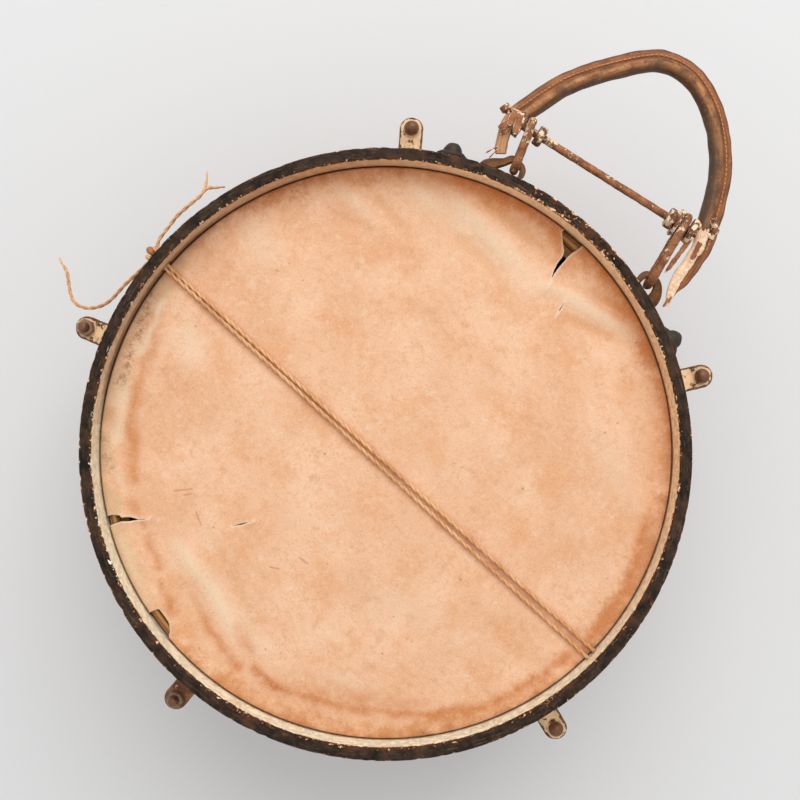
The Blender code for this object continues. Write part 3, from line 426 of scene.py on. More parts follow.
# The grip seen from above: across and outwards from the drum axis in millimetres, width as a share
GRIP_ROUTE = (
    (-67.4, 189.6, 0.48), (-69.6, 192.2, 0.54), (-72.6, 197.6, 0.56), (-75.8, 205.5, 0.62),
    (-75.6, 212.5, 0.86), (-74.0, 221.0, 0.99), (-65.7, 249.1, 1.0), (-53.2, 271.5, 1.0),
    (-35.6, 294.8, 1.0), (-24.1, 303.2, 1.0), (-8.7, 306.1, 1.0), (6.8, 302.7, 1.0),
    (21.5, 295.2, 1.0), (35.8, 283.3, 1.0), (46.9, 270.3, 1.0), (55.6, 255.3, 1.0),
    (62.1, 240.9, 1.0), (67.6, 228.5, 0.9), (69.4, 217.3, 0.82), (70.5, 203.7, 0.79),
    (71.0, 194.1, 0.46), (74.2, 184.4, 0.16),
)
# Places across the grip, from its sewn edge to its roll, as shares of its radius
GRIP_STATIONS = (
    1.0, 0.985, 0.94, 0.86, 0.74, 0.6, 0.46, 0.34, 0.26, 0.2, 0.16, 0.08, -0.04, -0.2, -0.36, -0.52, -0.68,
    -0.82, -0.95, -1.05, -1.12, -1.165, -1.18,
)
STITCH_SPACING = 2.8 * MM
STITCH_SHARE = 0.66
STITCH_BOW = 0.25 * MM
# Place of the stitches on the grip, as shares of its radius
STITCH_OUT, STITCH_RISE = 0.37, 0.33
STITCH_SECTION = (0.42 * MM, 0.34 * MM, 8)
# Torn strips of leather: two ends in the photograph's pixels, width and rise in millimetres
LEATHER_STRIPS = (
    ((691, 238), (665, 273), 3.2, 0.0),
    ((517, 110), (509, 126), 5.0, 7.0),
    ((521, 113), (515, 134), 4.4, 8.6),
    ((512, 121), (498, 129), 4.2, 6.0),
    ((510, 125), (501, 134), 3.0, 5.0),
    ((497, 147), (486, 153), 0.7, 3.0),
    ((497, 150), (489, 158), 0.6, 3.0),
    ((668, 298), (663, 307), 1.6, 3.4),
    ((671, 296), (667, 305), 1.4, 3.0),
    ((703, 236), (690, 262), 3.4, 3.4),
)
STRIP_THICKNESS = 0.4 * MM
STRIP_SIDES = 16
STRIP_STEP = 0.7 * MM
STRIP_ARCH = 1.0 * MM
CROSS_ROD_RADIUS = 2.5 * MM
CROSS_ROD_SIDES = 20
CROSS_ROD_STEP = 0.9 * MM
# Old paint on the rod: beside its left nut, and beyond a place at its left end
CROSS_ROD_CRUST, CRUST_SPREAD, CRUST_END = -50 * MM, 16 * MM, -80 * MM
CROSS_ROD_ENDS = (
    Vector((-84.0 * MM, 210.3 * MM, HANDLE_Z)), Vector((66.0 * MM, 232.4 * MM, HANDLE_Z)),
)
# The rod's middle: across and outwards from the drum axis, in millimetres
CROSS_ROD_ROUTE = ((-85.6, 214.6), (-81.0, 213.2), (-75.0, 212.0), (-66.0, 212.95), (60.5, 231.6))
# Head and neck at the rod's left end: how far along each reaches, and its radius
CROSS_ROD_NECK = ((3.6 * MM, 3.3 * MM), (14 * MM, 1.9 * MM))
CROSS_ROD_NUTS = {"left": -55.5 * MM, "right": 40.8 * MM}
CROSS_NUT_CORNERS = 13.6 * MM
CROSS_NUT_HEIGHT = 5.4 * MM
# Washers: place across the drum, radius and thickness
CROSS_ROD_WASHERS = {
    "left": (-70.0 * MM, 8.8 * MM, 3.6 * MM),
    "end": (-74.6 * MM, 7.4 * MM, 4.2 * MM),
    "inner": (45.1 * MM, 9.2 * MM, 2.4 * MM),
    "right": (55.4 * MM, 8.6 * MM, 3.4 * MM),
}
WASHER_SIDES = 40
WASHER_ROUNDING = 0.8 * MM
WASHER_FACE_LENGTH = 1.2 * MM
# Profile of the eyelet: radius and height, in millimetres
EYELET = (
    (0.02, -1.2), (1.6, -1.1), (2.2, 0.2), (3.1, 1.8), (4.4, 2.4), (5.9, 1.7), (6.9, 0.4), (6.6, -1.6),
    (0.02, -1.8),
)
EYELET_PIXEL = (707, 229.5)
EYELET_LIFT = 2.6 * MM
EYELET_SIDES = 36

# Links, leather loops and domed bolts
LINK_TOPS = {"left": (-63.4 * MM, 213.9 * MM), "right": (49.3 * MM, 231.0 * MM)}
LINK_EYE = 6.0 * MM
LINK_CRUST = {"left": 0.5, "right": 0.2}
# Half widths of a link's wire
LINK_WIRE = (2.7 * MM, 1.95 * MM)
LINK_SIDES = 16
LINK_STEP = 1.0 * MM
STRAP_FACE = HOOP_OUTER + 0.4 * MM
STRAP_STEPS = 40
LOOP_LEATHER = 2.4 * MM
LOOP_STRAP_HEIGHT = 13.0 * MM
# Azimuths between which a loop's tail lies on the hoop
LOOP_TAILS = (57.0, 77.5)
# Section of a strap on edge: level and thickness, as shares
STRAP_LEVELS = (
    (-1.0, 0.5), (-0.96, 0.85), (-0.85, 1.0), (-0.6, 1.0), (-0.3, 1.0), (0.0, 1.0), (0.3, 1.0), (0.6, 1.0),
    (0.85, 1.0), (0.96, 0.85), (1.0, 0.5),
)
# The loops' bands, from the link's eye: across, outwards and width in millimetres, tilt in degrees
LOOP_ROUTES = {
    "left": (
        (15.0, -17.0, 9.6, 30), (13.4, -13.2, 9.2, 50), (10.2, -9.4, 8.4, 54), (6.2, -4.7, 5.6, 54),
        (3.5, -0.3, 5.7, 50), (0.0, 0.0, 5.6, 48), (-3.4, -0.1, 5.6, 44), (-6.4, -2.0, 6.6, 24),
        (-7.6, -6.2, 7.6, 8), (-6.4, -10.6, 8.4, 0),
    ),
    "right": (
        (9.8, -13.6, 9.6, 40), (9.4, -9.8, 9.4, 58), (8.7, -6.0, 8.0, 60), (6.5, -2.2, 6.4, 58),
        (3.5, 0.1, 5.7, 50), (0.0, 0.0, 5.6, 48), (-3.3, -0.1, 5.6, 44), (-5.0, -2.4, 6.6, 24),
        (-5.2, -6.4, 7.6, 8), (-4.8, -10.6, 8.4, 0),
    ),
}
DOME_AZIMUTH = 62.0
DOME_SEAT = STRAP_FACE + LOOP_LEATHER + 0.4 * MM
DOME_TIP = 200.0 * MM
DOME_RADIUS = 6.0 * MM
DOME_FOOT = 3.0 * MM
DOME_SIDES = 48
# Collar and shank of a domed bolt: radius and height, in millimetres
DOME_COLLAR = (
    (6.6, 2.9), (7.9, 2.8), (8.4, 2.3), (8.5, 1.7), (9.4, 1.6), (9.9, 1.1), (10.0, 0.0), (2.5, 0.0),
    (2.5, -7.0), (0.02, -7.0),
)


# Places and routes

def polar(radius, azimuth, height=0.0):
    angle = math.radians(azimuth)
    return Vector((radius * math.cos(angle), radius * math.sin(angle), height))


def seen_at(pixel, height):
    """The point at a height that the photograph shows at a pixel."""
    reach = (CAMERA_ABOVE_RIM + RIM_TOP - height) / FOCAL_PIXELS
    middle = PHOTO_SIZE / 2
    offset = Vector(((pixel[0] - middle) * reach, (middle - pixel[1]) * reach))
    return CAMERA_FOOT + Matrix.Rotation(CAMERA_TURN, 2) @ offset


def turns(count, ahead=0.0):
    """Angles spread evenly over a full turn."""
    return [2 * math.pi * (j + ahead) / count for j in range(count)]


def arc(start, end, steps):
    """Angles from a start to an end, which are given in degrees."""
    return [math.radians(start + (end - start) * i / steps) for i in range(steps + 1)]


def clamp(value):
    return min(1.0, max(0.0, value))


def smooth_route(points, per_span):
    """Points along a smooth curve (Catmull-Rom) through the given points."""
    ends = [points[0] * 2 - points[1]] + list(points) + [points[-1] * 2 - points[-2]]
    route = []
    for a, b, c, d in zip(ends, ends[1:], ends[2:], ends[3:]):
        for i in range(per_span):
            t = i / per_span
            route.append(
                b + (c - a) * (t / 2) + (a * 2 - b * 5 + c * 4 - d) * (t * t / 2)
                + (b * 3 - a - c * 3 + d) * (t * t * t / 2)
            )
    route.append(points[-1].copy())
    return route


def even_route(points, step):
    """Points a step apart along a line of points."""
    route = [points[0].copy()]
    carried = 0.0
    for a, b in zip(points, points[1:]):
        length = (b - a).length
        while length and carried + length >= step:
            share = (step - carried) / length
            a = a.lerp(b, share)
            route.append(a.copy())
            length = (b - a).length
            carried = 0.0
        carried += length
    if (route[-1] - points[-1]).length > step * 0.3:
        route.append(points[-1].copy())
    return route


def travelled_along(points):
    """The length travelled at each point of a line of points."""
    travelled = [0.0]
    for a, b in zip(points, points[1:]):
        travelled.append(travelled[-1] + (b - a).length)
    return travelled


def rounded(corners, radius, steps=3):
    """A closed outline with its corners rounded off."""
    outline = []
    corners = [Vector(c) for c in corners]
    for before, corner, after in zip(corners[-1:] + corners[:-1], corners, corners[1:] + corners[:1]):
        back = before - corner
        on = after - corner
        reach = min(radius, back.length * 0.45, on.length * 0.45)
        start = corner + back.normalized() * reach
        end = corner + on.normalized() * reach
        for i in range(steps + 1):
            t = i / steps
            outline.append(start * (1 - t) ** 2 + corner * (2 * t * (1 - t)) + end * t * t)
    return outline


def divided(outline, longest):
    """A closed outline with points added on its long sides."""
    points = []
    for a, b in zip(outline, outline[1:] + outline[:1]):
        parts = max(1, math.ceil((b - a).length / longest))
        points += [a.lerp(b, i / parts) for i in range(parts)]
    return points


# Meshes

def face_out(mesh):
    work = bmesh.new()
    work.from_mesh(mesh)
    bmesh.ops.recalc_face_normals(work, faces=work.faces)
    work.to_mesh(mesh)
    work.free()
    return mesh


def grid_mesh(name, rings, along=False):
    """A closed skin over rings of points; along joins the last ring to the first, or else ends are capped."""
    size = len(rings[0])
    points = [p for ring in rings for p in ring]
    faces = []
    for i in range(len(rings) if along else len(rings) - 1):
        near = i * size
        far = (i + 1) % len(rings) * size
        for j in range(size):
            k = (j + 1) % size
            faces.append((near + j, near + k, far + k, far + j))
    if not along:
        faces.append(tuple(range(size)))
        faces.append(tuple(range(len(points) - size, len(points))))
    mesh = bpy.data.meshes.new(name)
    mesh.from_pydata(points, [], faces)
    return face_out(mesh)


def joined(name, meshes):
    work = bmesh.new()
    for mesh in meshes:
        work.from_mesh(mesh)
    made = bpy.data.meshes.new(name)
    work.to_mesh(made)
    work.free()
    return made


def moved(mesh, matrix):
    mesh.transform(matrix)
    if matrix.determinant() < 0:
        mesh.flip_normals()
    return mesh


def turned_over(mesh, side):
    """A mesh made for the snare side, turned over where it belongs to the batter side."""
    return moved(mesh, FLIP) if side == "batter" else mesh


def ring_mesh(name, profile, wear=None, steps=RING_STEPS):
    """A closed profile of (radius, height) points carried round the drum axis; wear moves single points."""
    rings = []
    for i in range(steps):
        azimuth = 360 * i / steps
        ring = [polar(p[0], azimuth, p[1]) for p in profile]
        rings.append([wear(p) for p in ring] if wear else ring)
    return grid_mesh(name, rings, along=True)


def turned_rings(profile, sides):
    """Rings of a turned piece along its own Z axis, from (radius, height) points."""
    angles = turns(sides)
    return [[Vector((r * math.cos(t), r * math.sin(t), z)) for t in angles] for r, z in profile]


def turned_mesh(name, profile, sides=32):
    return grid_mesh(name, turned_rings(profile, sides))


def sweep(name, points, section, up=(0, 0, 1), closed=False):
    """A section carried along a route without twisting; it gets the length travelled and the whole length."""
    travelled = travelled_along(points)
    normal = Vector(up)
    rings = []
    last = len(points) - 1
    for i, point in enumerate(points):
        after = points[(i + 1) % len(points)] if closed else points[min(i + 1, last)]
        before = points[i - 1] if closed else points[max(i - 1, 0)]
        ahead = (after - before).normalized()
        normal = (normal - ahead * normal.dot(ahead)).normalized()
        side = normal.cross(ahead)
        rings.append([point + side * u + normal * v for u, v in section(travelled[i], travelled[-1])])
    return grid_mesh(name, rings, along=closed)


def oval(width, height, sides=16):
    return [(width * math.cos(t), height * math.sin(t)) for t in turns(sides)]


def box_mesh(size, matrix):
    work = bmesh.new()
    made = bmesh.ops.create_cube(work, size=1.0)
    bmesh.ops.scale(work, vec=size, verts=made["verts"])
    mesh = bpy.data.meshes.new("cut_box")
    work.to_mesh(mesh)
    work.free()
    return moved(mesh, matrix)


def rod_mesh(radius, length, matrix, sides=32):
    return moved(turned_mesh("cut_rod", [(radius, length / 2), (radius, -length / 2)], sides), matrix)


def cut(mesh, tools):
    """The mesh with closed meshes cut out of it."""
    scene = bpy.context.scene.collection.objects
    holder = bpy.data.objects.new("cut_holder", mesh)
    scene.link(holder)
    knives = []
    for tool in tools:
        knife = bpy.data.objects.new("cut_tool", tool)
        scene.link(knife)
        knives.append(knife)
        boolean = holder.modifiers.new("cut", "BOOLEAN")
        boolean.operation = "DIFFERENCE"
        boolean.object = knife
    view = bpy.context.evaluated_depsgraph_get()
    made = bpy.data.meshes.new_from_object(holder.evaluated_get(view))
    made.name = mesh.name
    for item in [holder] + knives:
        bpy.data.objects.remove(item, do_unlink=True)
    return made


def radial(radius, azimuth, height):
    """Moves a piece that stands on its Z axis to a radius of the drum, with its Z pointing outwards."""
    turn_out = Matrix.Rotation(math.radians(azimuth), 4, "Z") @ Matrix.Rotation(math.pi / 2, 4, "Y")
    return Matrix.Translation(polar(radius, azimuth, height)) @ turn_out


def upright(radius, azimuth, height):
    """Moves a piece to a radius of the drum, with its X pointing outwards and its Z up."""
    return Matrix.Translation(polar(radius, azimuth, height)) @ Matrix.Rotation(math.radians(azimuth), 4, "Z")


def along_line(a, b):
    """Lays a piece that stands on its Z axis along the line between two points, at its middle."""
    return Matrix.Translation((a + b) / 2) @ (b - a).to_track_quat("Z", "Y").to_matrix().to_4x4()


def roughened(mesh, amount, size, seed=0.0):
    """Pushes points in and out along their normals, for cast, rusted or handled surfaces."""
    normals = [n.vector.copy() for n in mesh.vertex_normals]
    for vertex, normal in zip(mesh.vertices, normals):
        spot = vertex.co / size + Vector((seed, seed * 2, -seed))
        vertex.co += normal * (amount * noise.noise(spot))
    mesh.update()
    return mesh


def note(mesh, name, values):
    """Keeps a number for each point of a mesh, for its finish."""
    mesh.attributes.new(name, "FLOAT", "POINT").data.foreach_set("value", np.array(values, np.float32))


def piece(name, mesh, finish, body, *nodes, slot=None, sharp=SHARP_ANGLE):
    """A piece placed from the drum's middle, which rides on a body and stands for CAD nodes."""
    made = bpy.data.objects.new(name, mesh)
    bpy.context.scene.collection.objects.link(made)
    mesh.name = name
    mesh.materials.clear()
    mesh.materials.append(finish)
    mesh.shade_smooth()
    mesh.set_sharp_from_angle(angle=sharp)
    made.location = CENTRE
    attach(made, body)
    if nodes:
        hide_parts(*nodes)
    return made


# Finishes

def tone(red, green, blue):
    """A colour written as 0 to 255 screen values."""
    channels = [c / 255 for c in (red, green, blue)]
    return [c / 12.92 if c <= 0.04045 else ((c + 0.055) / 1.055) ** 2.4 for c in channels] + [1.0]


def shade(value):
    """A colour given as screen values, or else the value as it is."""
    return tone(*value) if isinstance(value, tuple) else value


def dimmed(colour, share):
    """A colour of screen values, darkened to a share of its light."""
    return [c * share for c in tone(*colour)[:3]] + [1.0]


class Finish:
    """A procedural material, laid out by short calls; values are numbers, colours or other nodes' sockets."""

    def __init__(self, name, roughness, metallic=0.0):
        self.material = bpy.data.materials.new(name)
        self.material.use_nodes = True
        self.nodes = self.material.node_tree.nodes
        self.links = self.material.node_tree.links
        self.shader = self.nodes["Principled BSDF"]
        self.give("Roughness", roughness)
        self.give("Metallic", metallic)
        self.place = self.nodes.new("ShaderNodeTexCoord").outputs["Object"]
        self.x, self.y, self.z = self.split(self.place)
        self.normal = None
        self.reach = None
        self.colour = None

    def put(self, socket, value):
        if isinstance(value, bpy.types.NodeSocket):
            self.links.new(value, socket)
        else:
            socket.default_value = value

    def give(self, name, value):
        self.put(self.shader.inputs[name], value)

    def math(self, operation, a, b=0.0):
        node = self.nodes.new("ShaderNodeMath")
        node.operation = operation
        self.put(node.inputs[0], a)
        self.put(node.inputs[1], b)
        return node.outputs[0]

    def sum(self, *values):
        total = values[0]
        for value in values[1:]:
            total = self.math("ADD", total, value)
        return total

    def product(self, *values):
        total = values[0]
        for value in values[1:]:
            total = self.math("MULTIPLY", total, value)
        return total

    def sway(self, value, amount):
        """A value of 0 to 1 as an offset to both sides."""
        return self.product(self.math("SUBTRACT", value, 0.5), amount)

    def step(self, value, low, high):
        """0 below low, 1 above high, and smooth between them; low may lie above high."""
        node = self.nodes.new("ShaderNodeMapRange")
        node.interpolation_type = "SMOOTHSTEP"
        self.put(node.inputs["Value"], value)
        self.put(node.inputs["From Min"], low)
        self.put(node.inputs["From Max"], high)
        return node.outputs[0]

    def noise(self, size, detail=3.0, rough=0.55, at=None, depth=None):
        """Soft blotches of about that size."""
        node = self.nodes.new("ShaderNodeTexNoise")
        node.noise_dimensions = "3D" if depth is None else "4D"
        self.put(node.inputs["Vector"], self.place if at is None else at)
        if depth is not None:
            self.put(node.inputs["W"], depth)
        node.inputs["Scale"].default_value = 1 / size
        node.inputs["Detail"].default_value = detail
        node.inputs["Roughness"].default_value = rough
        return node.outputs["Fac"]

    def cells(self, size):
        node = self.nodes.new("ShaderNodeTexVoronoi")
        self.put(node.inputs["Vector"], self.place)
        node.inputs["Scale"].default_value = 1 / size
        return node.outputs["Distance"]

    def mix(self, share, a, b):
        node = self.nodes.new("ShaderNodeMix")
        node.data_type = "RGBA"
        self.put(node.inputs[0], share)
        self.put(node.inputs[6], shade(a))
        self.put(node.inputs[7], shade(b))
        return node.outputs[2]

    def base(self, share, first, second):
        """Starts the colour as a mix of two."""
        self.colour = self.mix(share, first, second)

    def coat(self, layer, *shares):
        """Lays a colour over the colour so far, where all the shares are high."""
        self.colour = self.mix(self.product(*shares), self.colour, layer)

    def wash(self, layer, value, low, high, *shares):
        """Lays a colour on where a value has passed a step and all the shares are high."""
        self.coat(layer, self.step(value, low, high), *shares)

    def done(self):
        self.give("Base Color", self.colour)
        return self.material

    def split(self, vector):
        node = self.nodes.new("ShaderNodeSeparateXYZ")
        self.put(node.inputs[0], vector)
        return node.outputs

    def vector(self, x, y, z):
        node = self.nodes.new("ShaderNodeCombineXYZ")
        for socket, value in zip(node.inputs, (x, y, z)):
            self.put(socket, value)
        return node.outputs[0]

    def length(self, x, y):
        return self.math("SQRT", self.math("ADD", self.product(x, x), self.product(y, y)))

    def radius(self):
        """Distance from the drum axis."""
        if self.reach is None:
            self.reach = self.length(self.x, self.y)
        return self.reach

    def segment(self, a, b):
        """Distance in plan from the line between two points."""
        line = b - a
        unit = line / line.length_squared
        east = self.sum(self.x, -a.x)
        north = self.sum(self.y, -a.y)
        along = self.sum(self.product(east, unit.x), self.product(north, unit.y))
        share = self.math("MINIMUM", self.math("MAXIMUM", along, 0.0), 1.0)
        return self.length(
            self.sum(east, self.product(share, -line.x)), self.sum(north, self.product(share, -line.y)),
        )

    def facing(self, azimuth):
        """1 towards an azimuth of the drum, -1 away from it."""
        angle = math.radians(azimuth)
        along = self.sum(self.product(self.x, math.cos(angle)), self.product(self.y, math.sin(angle)))
        return self.math("DIVIDE", along, self.radius())

    def side(self, azimuth, spread):
        """1 near an azimuth of the drum, 0 beyond a spread of degrees on both sides."""
        outer = math.cos(math.radians(spread))
        return self.step(self.facing(azimuth), outer, math.cos(math.radians(spread * 0.4)))

    def streaks(self, long, wide, detail=3.0, rough=0.55):
        """Blotches drawn out along the drum's rim."""
        around = self.math("DIVIDE", SHELL_RADIUS / long, self.radius())
        at = self.vector(
            self.product(self.x, around), self.product(self.y, around), self.math("DIVIDE", self.z, wide),
        )
        return self.noise(1.0, detail, rough, at, self.math("DIVIDE", self.radius(), wide))

    def attribute(self, name):
        node = self.nodes.new("ShaderNodeAttribute")
        node.attribute_name = name
        return node.outputs["Fac"]

    def bump(self, height, depth):
        """Relief from a value of 0 to 1, in metres."""
        node = self.nodes.new("ShaderNodeBump")
        node.inputs["Distance"].default_value = depth
        self.put(node.inputs["Height"], height)
        if self.normal is not None:
            self.links.new(self.normal, node.inputs["Normal"])
        self.normal = node.outputs["Normal"]
        self.links.new(self.normal, self.shader.inputs["Normal"])


def calfskin(name, stains_and_shade, marked):
    """Old vellum: grained and veined, stained towards the rim with some painted shade of the hoop's rim mixed
    into its stain, pale on torn edges that also carry a painted highlight, with painted shade at its very
    edge by the hoop, painted shade in crease valleys and a painted highlight on crease ridges.
    """
    skin = Finish(name, 0.5)
    cloud = skin.noise(0.045, 5, 0.6)
    mottle = skin.noise(0.011, 6, 0.72)
    vein = skin.noise(0.0044, 6, 0.8)
    grain = skin.noise(0.0011, 5, 0.85)
    blush = skin.noise(0.026, 6, 0.68)
    skin.base(skin.step(cloud, 0.3, 0.7), (234, 180, 139), (247, 200, 163))
    skin.wash((232, 166, 116), blush, 0.48, 0.68, 0.6)
    skin.wash((218, 160, 114), mottle, 0.5, 0.7, 0.55)
    skin.wash((248, 216, 184), mottle, 0.47, 0.28, 0.5)
    skin.wash((204, 156, 116), vein, 0.52, 0.72, 0.45)
    skin.wash((250, 220, 188), vein, 0.46, 0.28, 0.3)
    fold_shading = skin.attribute("fold_shading")
    # Painted shade in the crease valleys and a painted highlight on the crease ridges.
    skin.wash((220, 158, 106), fold_shading, -0.1, -1.0, 0.75)
    skin.wash((240, 211, 178), fold_shading, 0.1, 1.0, 0.5)
    spotty = skin.step(mottle, 0.36, 0.6)
    patch = skin.sum(0.45, skin.product(spotty, 0.55))
    inward = skin.sum(skin.radius(), skin.sway(cloud, 0.03), skin.sway(mottle, 0.02), skin.sway(vein, 0.008))
    stain_and_shade_rim(skin, stains_and_shade, inward, patch)
    broken = skin.sum(0.6, skin.product(spotty, 0.4))
    skin.coat((206, 122, 58), skin.attribute("stain"), broken, 0.85)
    skin.coat((246, 222, 190), skin.attribute("bloom"), broken, 0.9)
    # Darker brown strokes, most of them along the skin's edge at the left by the hoop's wall.
    skin.coat((118, 74, 50), skin.attribute("dark_streak"), skin.step(vein, 0.42, 0.62), 0.7)
    if marked:
        mark_skin(skin, grain, patch)
    skin.wash((178, 124, 84), grain, 0.5, 0.74, 0.42)
    skin.wash((254, 230, 202), grain, 0.48, 0.27, 0.45)
    # Painted shade at the skin's very edge, where it rolls down into the corner by the hoop's wall.
    edge = skin.step(skin.radius(), HOOP_INNER - 1.3 * MM, HOOP_INNER - 0.5 * MM)
    skin.coat((150, 98, 58), edge, 0.25)
    specks = skin.product(skin.step(skin.cells(0.012), 0.09, 0.03), skin.step(cloud, 0.52, 0.58))
    skin.coat((128, 78, 44), specks, 0.5)
    # Pale torn edges: partly the skin's paler cut edge, partly a painted highlight.
    skin.coat((253, 228, 196), skin.attribute("torn"), 0.75)
    skin.give("Roughness", skin.sum(0.45, skin.product(mottle, 0.25)))
    skin.give("Specular IOR Level", 0.3)
    for relief, depth in ((mottle, 0.5 * MM), (vein, 0.3 * MM), (grain, 0.14 * MM)):
        skin.bump(relief, depth)
    return skin.done()


def stain_and_shade_rim(skin, stains_and_shade, inward, patch):
    """Stains that reach inwards from the rim: two all round it, and the others at their azimuths; on the
    snare head those at azimuths 86, 90 and 150 are partly painted shade of the hoop's rim.
    """
    skin.wash((214, 148, 92), inward, 0.165, 0.181, patch, 0.5)
    skin.wash((150, 94, 54), inward, 0.1755, 0.183, patch, 0.6)
    for azimuth, spread, inner, soft, strength, stain in stains_and_shade:
        share = skin.step(inward, inner, inner + soft)
        skin.coat(stain, share, patch, skin.side(azimuth, spread), strength)


def mark_skin(skin, grain, patch):
    """A darker orange band along the gut's line, under and between its strands, and scratches."""
    # A darker orange band under and between the strands of the gut.
    beside = skin.math("ABSOLUTE", skin.sum(gut_offset(skin), 1.6 * MM))
    skin.wash((206, 142, 94), beside, 6.5 * MM, 1.5 * MM, patch, 0.6)
    for first, second in SCRATCHES:
        away = skin.segment(seen_at(first, HEAD_TOP), seen_at(second, HEAD_TOP))
        line = skin.step(skin.sum(away, skin.sway(grain, 0.9 * MM)), 0.75 * MM, 0.2 * MM)
        skin.coat((170, 98, 60), line, 0.45)


def gut_offset(skin):
    """Distance of a place on the head from the line of the gut."""
    along = (Vector(GUT_ANCHOR_END) - Vector(GUT_HOOK_END)).normalized()
    start = along.y * GUT_HOOK_END[0] - along.x * GUT_HOOK_END[1]
    return skin.sum(skin.product(skin.x, -along.y), skin.product(skin.y, along.x), start)


def hoop_paint(name):
    """Black paint over wood, rubbed brown and chipped along its edges, with a cream inner wall."""
    paint = Finish(name, 0.6)
    paint.give("Specular IOR Level", 0.12)
    reach = paint.radius()
    high = paint.math("ABSOLUTE", paint.z)
    wear = paint.noise(0.013, 6, 0.7)
    flake = paint.noise(0.0036, 6, 0.74)
    scuff = paint.streaks(0.009, 0.0014, 4, 0.7)
    rubbed = rubbed_edges(paint, reach, high)
    loose = paint.sum(flake, rubbed)
    paint.base(paint.step(wear, 0.34, 0.66), (28, 22, 17), (70, 52, 40))
    paint.wash((118, 94, 74), scuff, 0.52, 0.7, 0.55)
    paint.coat((98, 58, 35), paint.step(paint.sum(wear, rubbed), 0.57, 0.7), 0.65)
    paint.wash((168, 104, 62), loose, 0.635, 0.675, 0.9)
    paint.wash((248, 214, 174), loose, 0.69, 0.715)
    black = paint.colour
    brushed = paint.product(paint.step(paint.facing(325), 0.0, 0.8), 2.8 * MM)
    border = paint.sum(high, paint.sway(flake, 10.0 * MM), paint.sway(wear, 6.0 * MM), brushed)
    on_wall = paint.step(reach, HOOP_INNER + 1.7 * MM, HOOP_INNER + 1.2 * MM)
    inside = paint.product(paint.step(border, RIM_TOP - 1.3 * MM, RIM_TOP - 1.7 * MM), on_wall)
    cream_wall(paint, high, wear, flake)
    paint.colour = paint.mix(inside, black, paint.colour)
    paint.give("Roughness", paint.sum(0.45, paint.product(wear, 0.3)))
    paint.bump(paint.step(loose, 0.7, 0.58), 0.4 * MM)
    paint.bump(scuff, 0.25 * MM)
    paint.bump(wear, 0.6 * MM)
    return paint.done()


def rubbed_edges(paint, reach, high):
    """How much more the paint is rubbed: along the hoop's edges, by the handle and at one spot of the rim."""
    top = paint.step(high, RIM_TOP - 2.4 * MM, RIM_TOP - 0.6 * MM)
    outer_edge = paint.product(paint.step(reach, HOOP_OUTER - 1.8 * MM, HOOP_OUTER - 0.4 * MM), top)
    inner_edge = paint.step(reach, HOOP_INNER + 2.0 * MM, HOOP_INNER + 0.6 * MM)
    foot = paint.step(high, HOOP_FOOT + 1.6 * MM, HOOP_FOOT + 0.3 * MM)
    return paint.sum(
        paint.product(outer_edge, 0.085), paint.product(inner_edge, 0.095),
        paint.product(paint.side(90, 18), top, 0.07), paint.product(foot, 0.08),
        paint.product(paint.side(236, 20), outer_edge, 0.07),
    )


def cream_wall(paint, high, wear, flake):
    """The cream of the hoop's inner wall: painted shade in peach on the side towards the lamp, whose face
    looks away from it, and in a dark line along its foot; brown by the gut's hook end, partly dirt and partly
    painted shade, darkest low down.
    """
    paint.base(paint.step(wear, 0.38, 0.68), (255, 248, 224), (255, 238, 202))
    # Painted shade: peach on the side of the wall towards the lamp, which faces away from it.
    paint.coat((255, 212, 164), paint.step(paint.facing(88), -0.2, 0.75), 0.85)
    # Brown by the gut's hook end: partly dirt, partly painted shade.
    paint.coat((184, 122, 74), paint.step(paint.facing(168), 0.5, 0.95), 0.6)
    paint.wash((150, 98, 60), flake, 0.62, 0.7, 0.5)
    # Painted shade along the foot of the wall, in the corner with the skin.
    paint.wash((140, 92, 56), high, HEAD_TOP + 1.0 * MM, HEAD_TOP + 0.1 * MM, 0.35)
    # Painted shade low on the wall by the hook end.
    deep = paint.step(high, HEAD_TOP + 11 * MM, HEAD_TOP + 3 * MM)
    paint.coat((120, 76, 46), deep, paint.side(188, 30), 0.7)


def shell_wood(name):
    """Varnished wood whose grain runs round the shell."""
    wood = Finish(name, 0.35)
    grain = wood.streaks(0.3, 0.0016, 5, 0.65)
    figure = wood.streaks(0.09, 0.02, 4)
    flecks = wood.streaks(0.015, 0.0006, 2)
    wood.base(wood.step(figure, 0.35, 0.68), (120, 70, 38), (164, 104, 58))
    wood.wash((84, 46, 24), grain, 0.46, 0.66, 0.7)
    wood.wash((190, 138, 90), flecks, 0.7, 0.76, 0.5)
    end = wood.step(wood.math("ABSOLUTE", wood.z), SHELL_TOP - 5 * MM, SHELL_TOP - 2 * MM)
    wood.coat((196, 142, 78), end, 0.6)
    wood.give("Roughness", wood.sum(0.2, wood.product(wood.noise(0.03, 4), 0.35)))
    wood.give("Coat Weight", 0.3)
    wood.give("Coat Roughness", 0.25)
    wood.bump(grain, 0.12 * MM)
    return wood.done()


def raw_wood(name):
    """Bare, dusty wood of the rings inside the drum."""
    wood = Finish(name, 0.8)
    grain = wood.streaks(0.2, 0.0012, 5, 0.65)
    wood.base(wood.step(grain, 0.35, 0.7), (186, 138, 88), (132, 86, 48))
    wood.coat((150, 108, 68), wood.step(wood.noise(0.03), 0.4, 0.7))
    wood.bump(grain, 0.2 * MM)
    return wood.done()


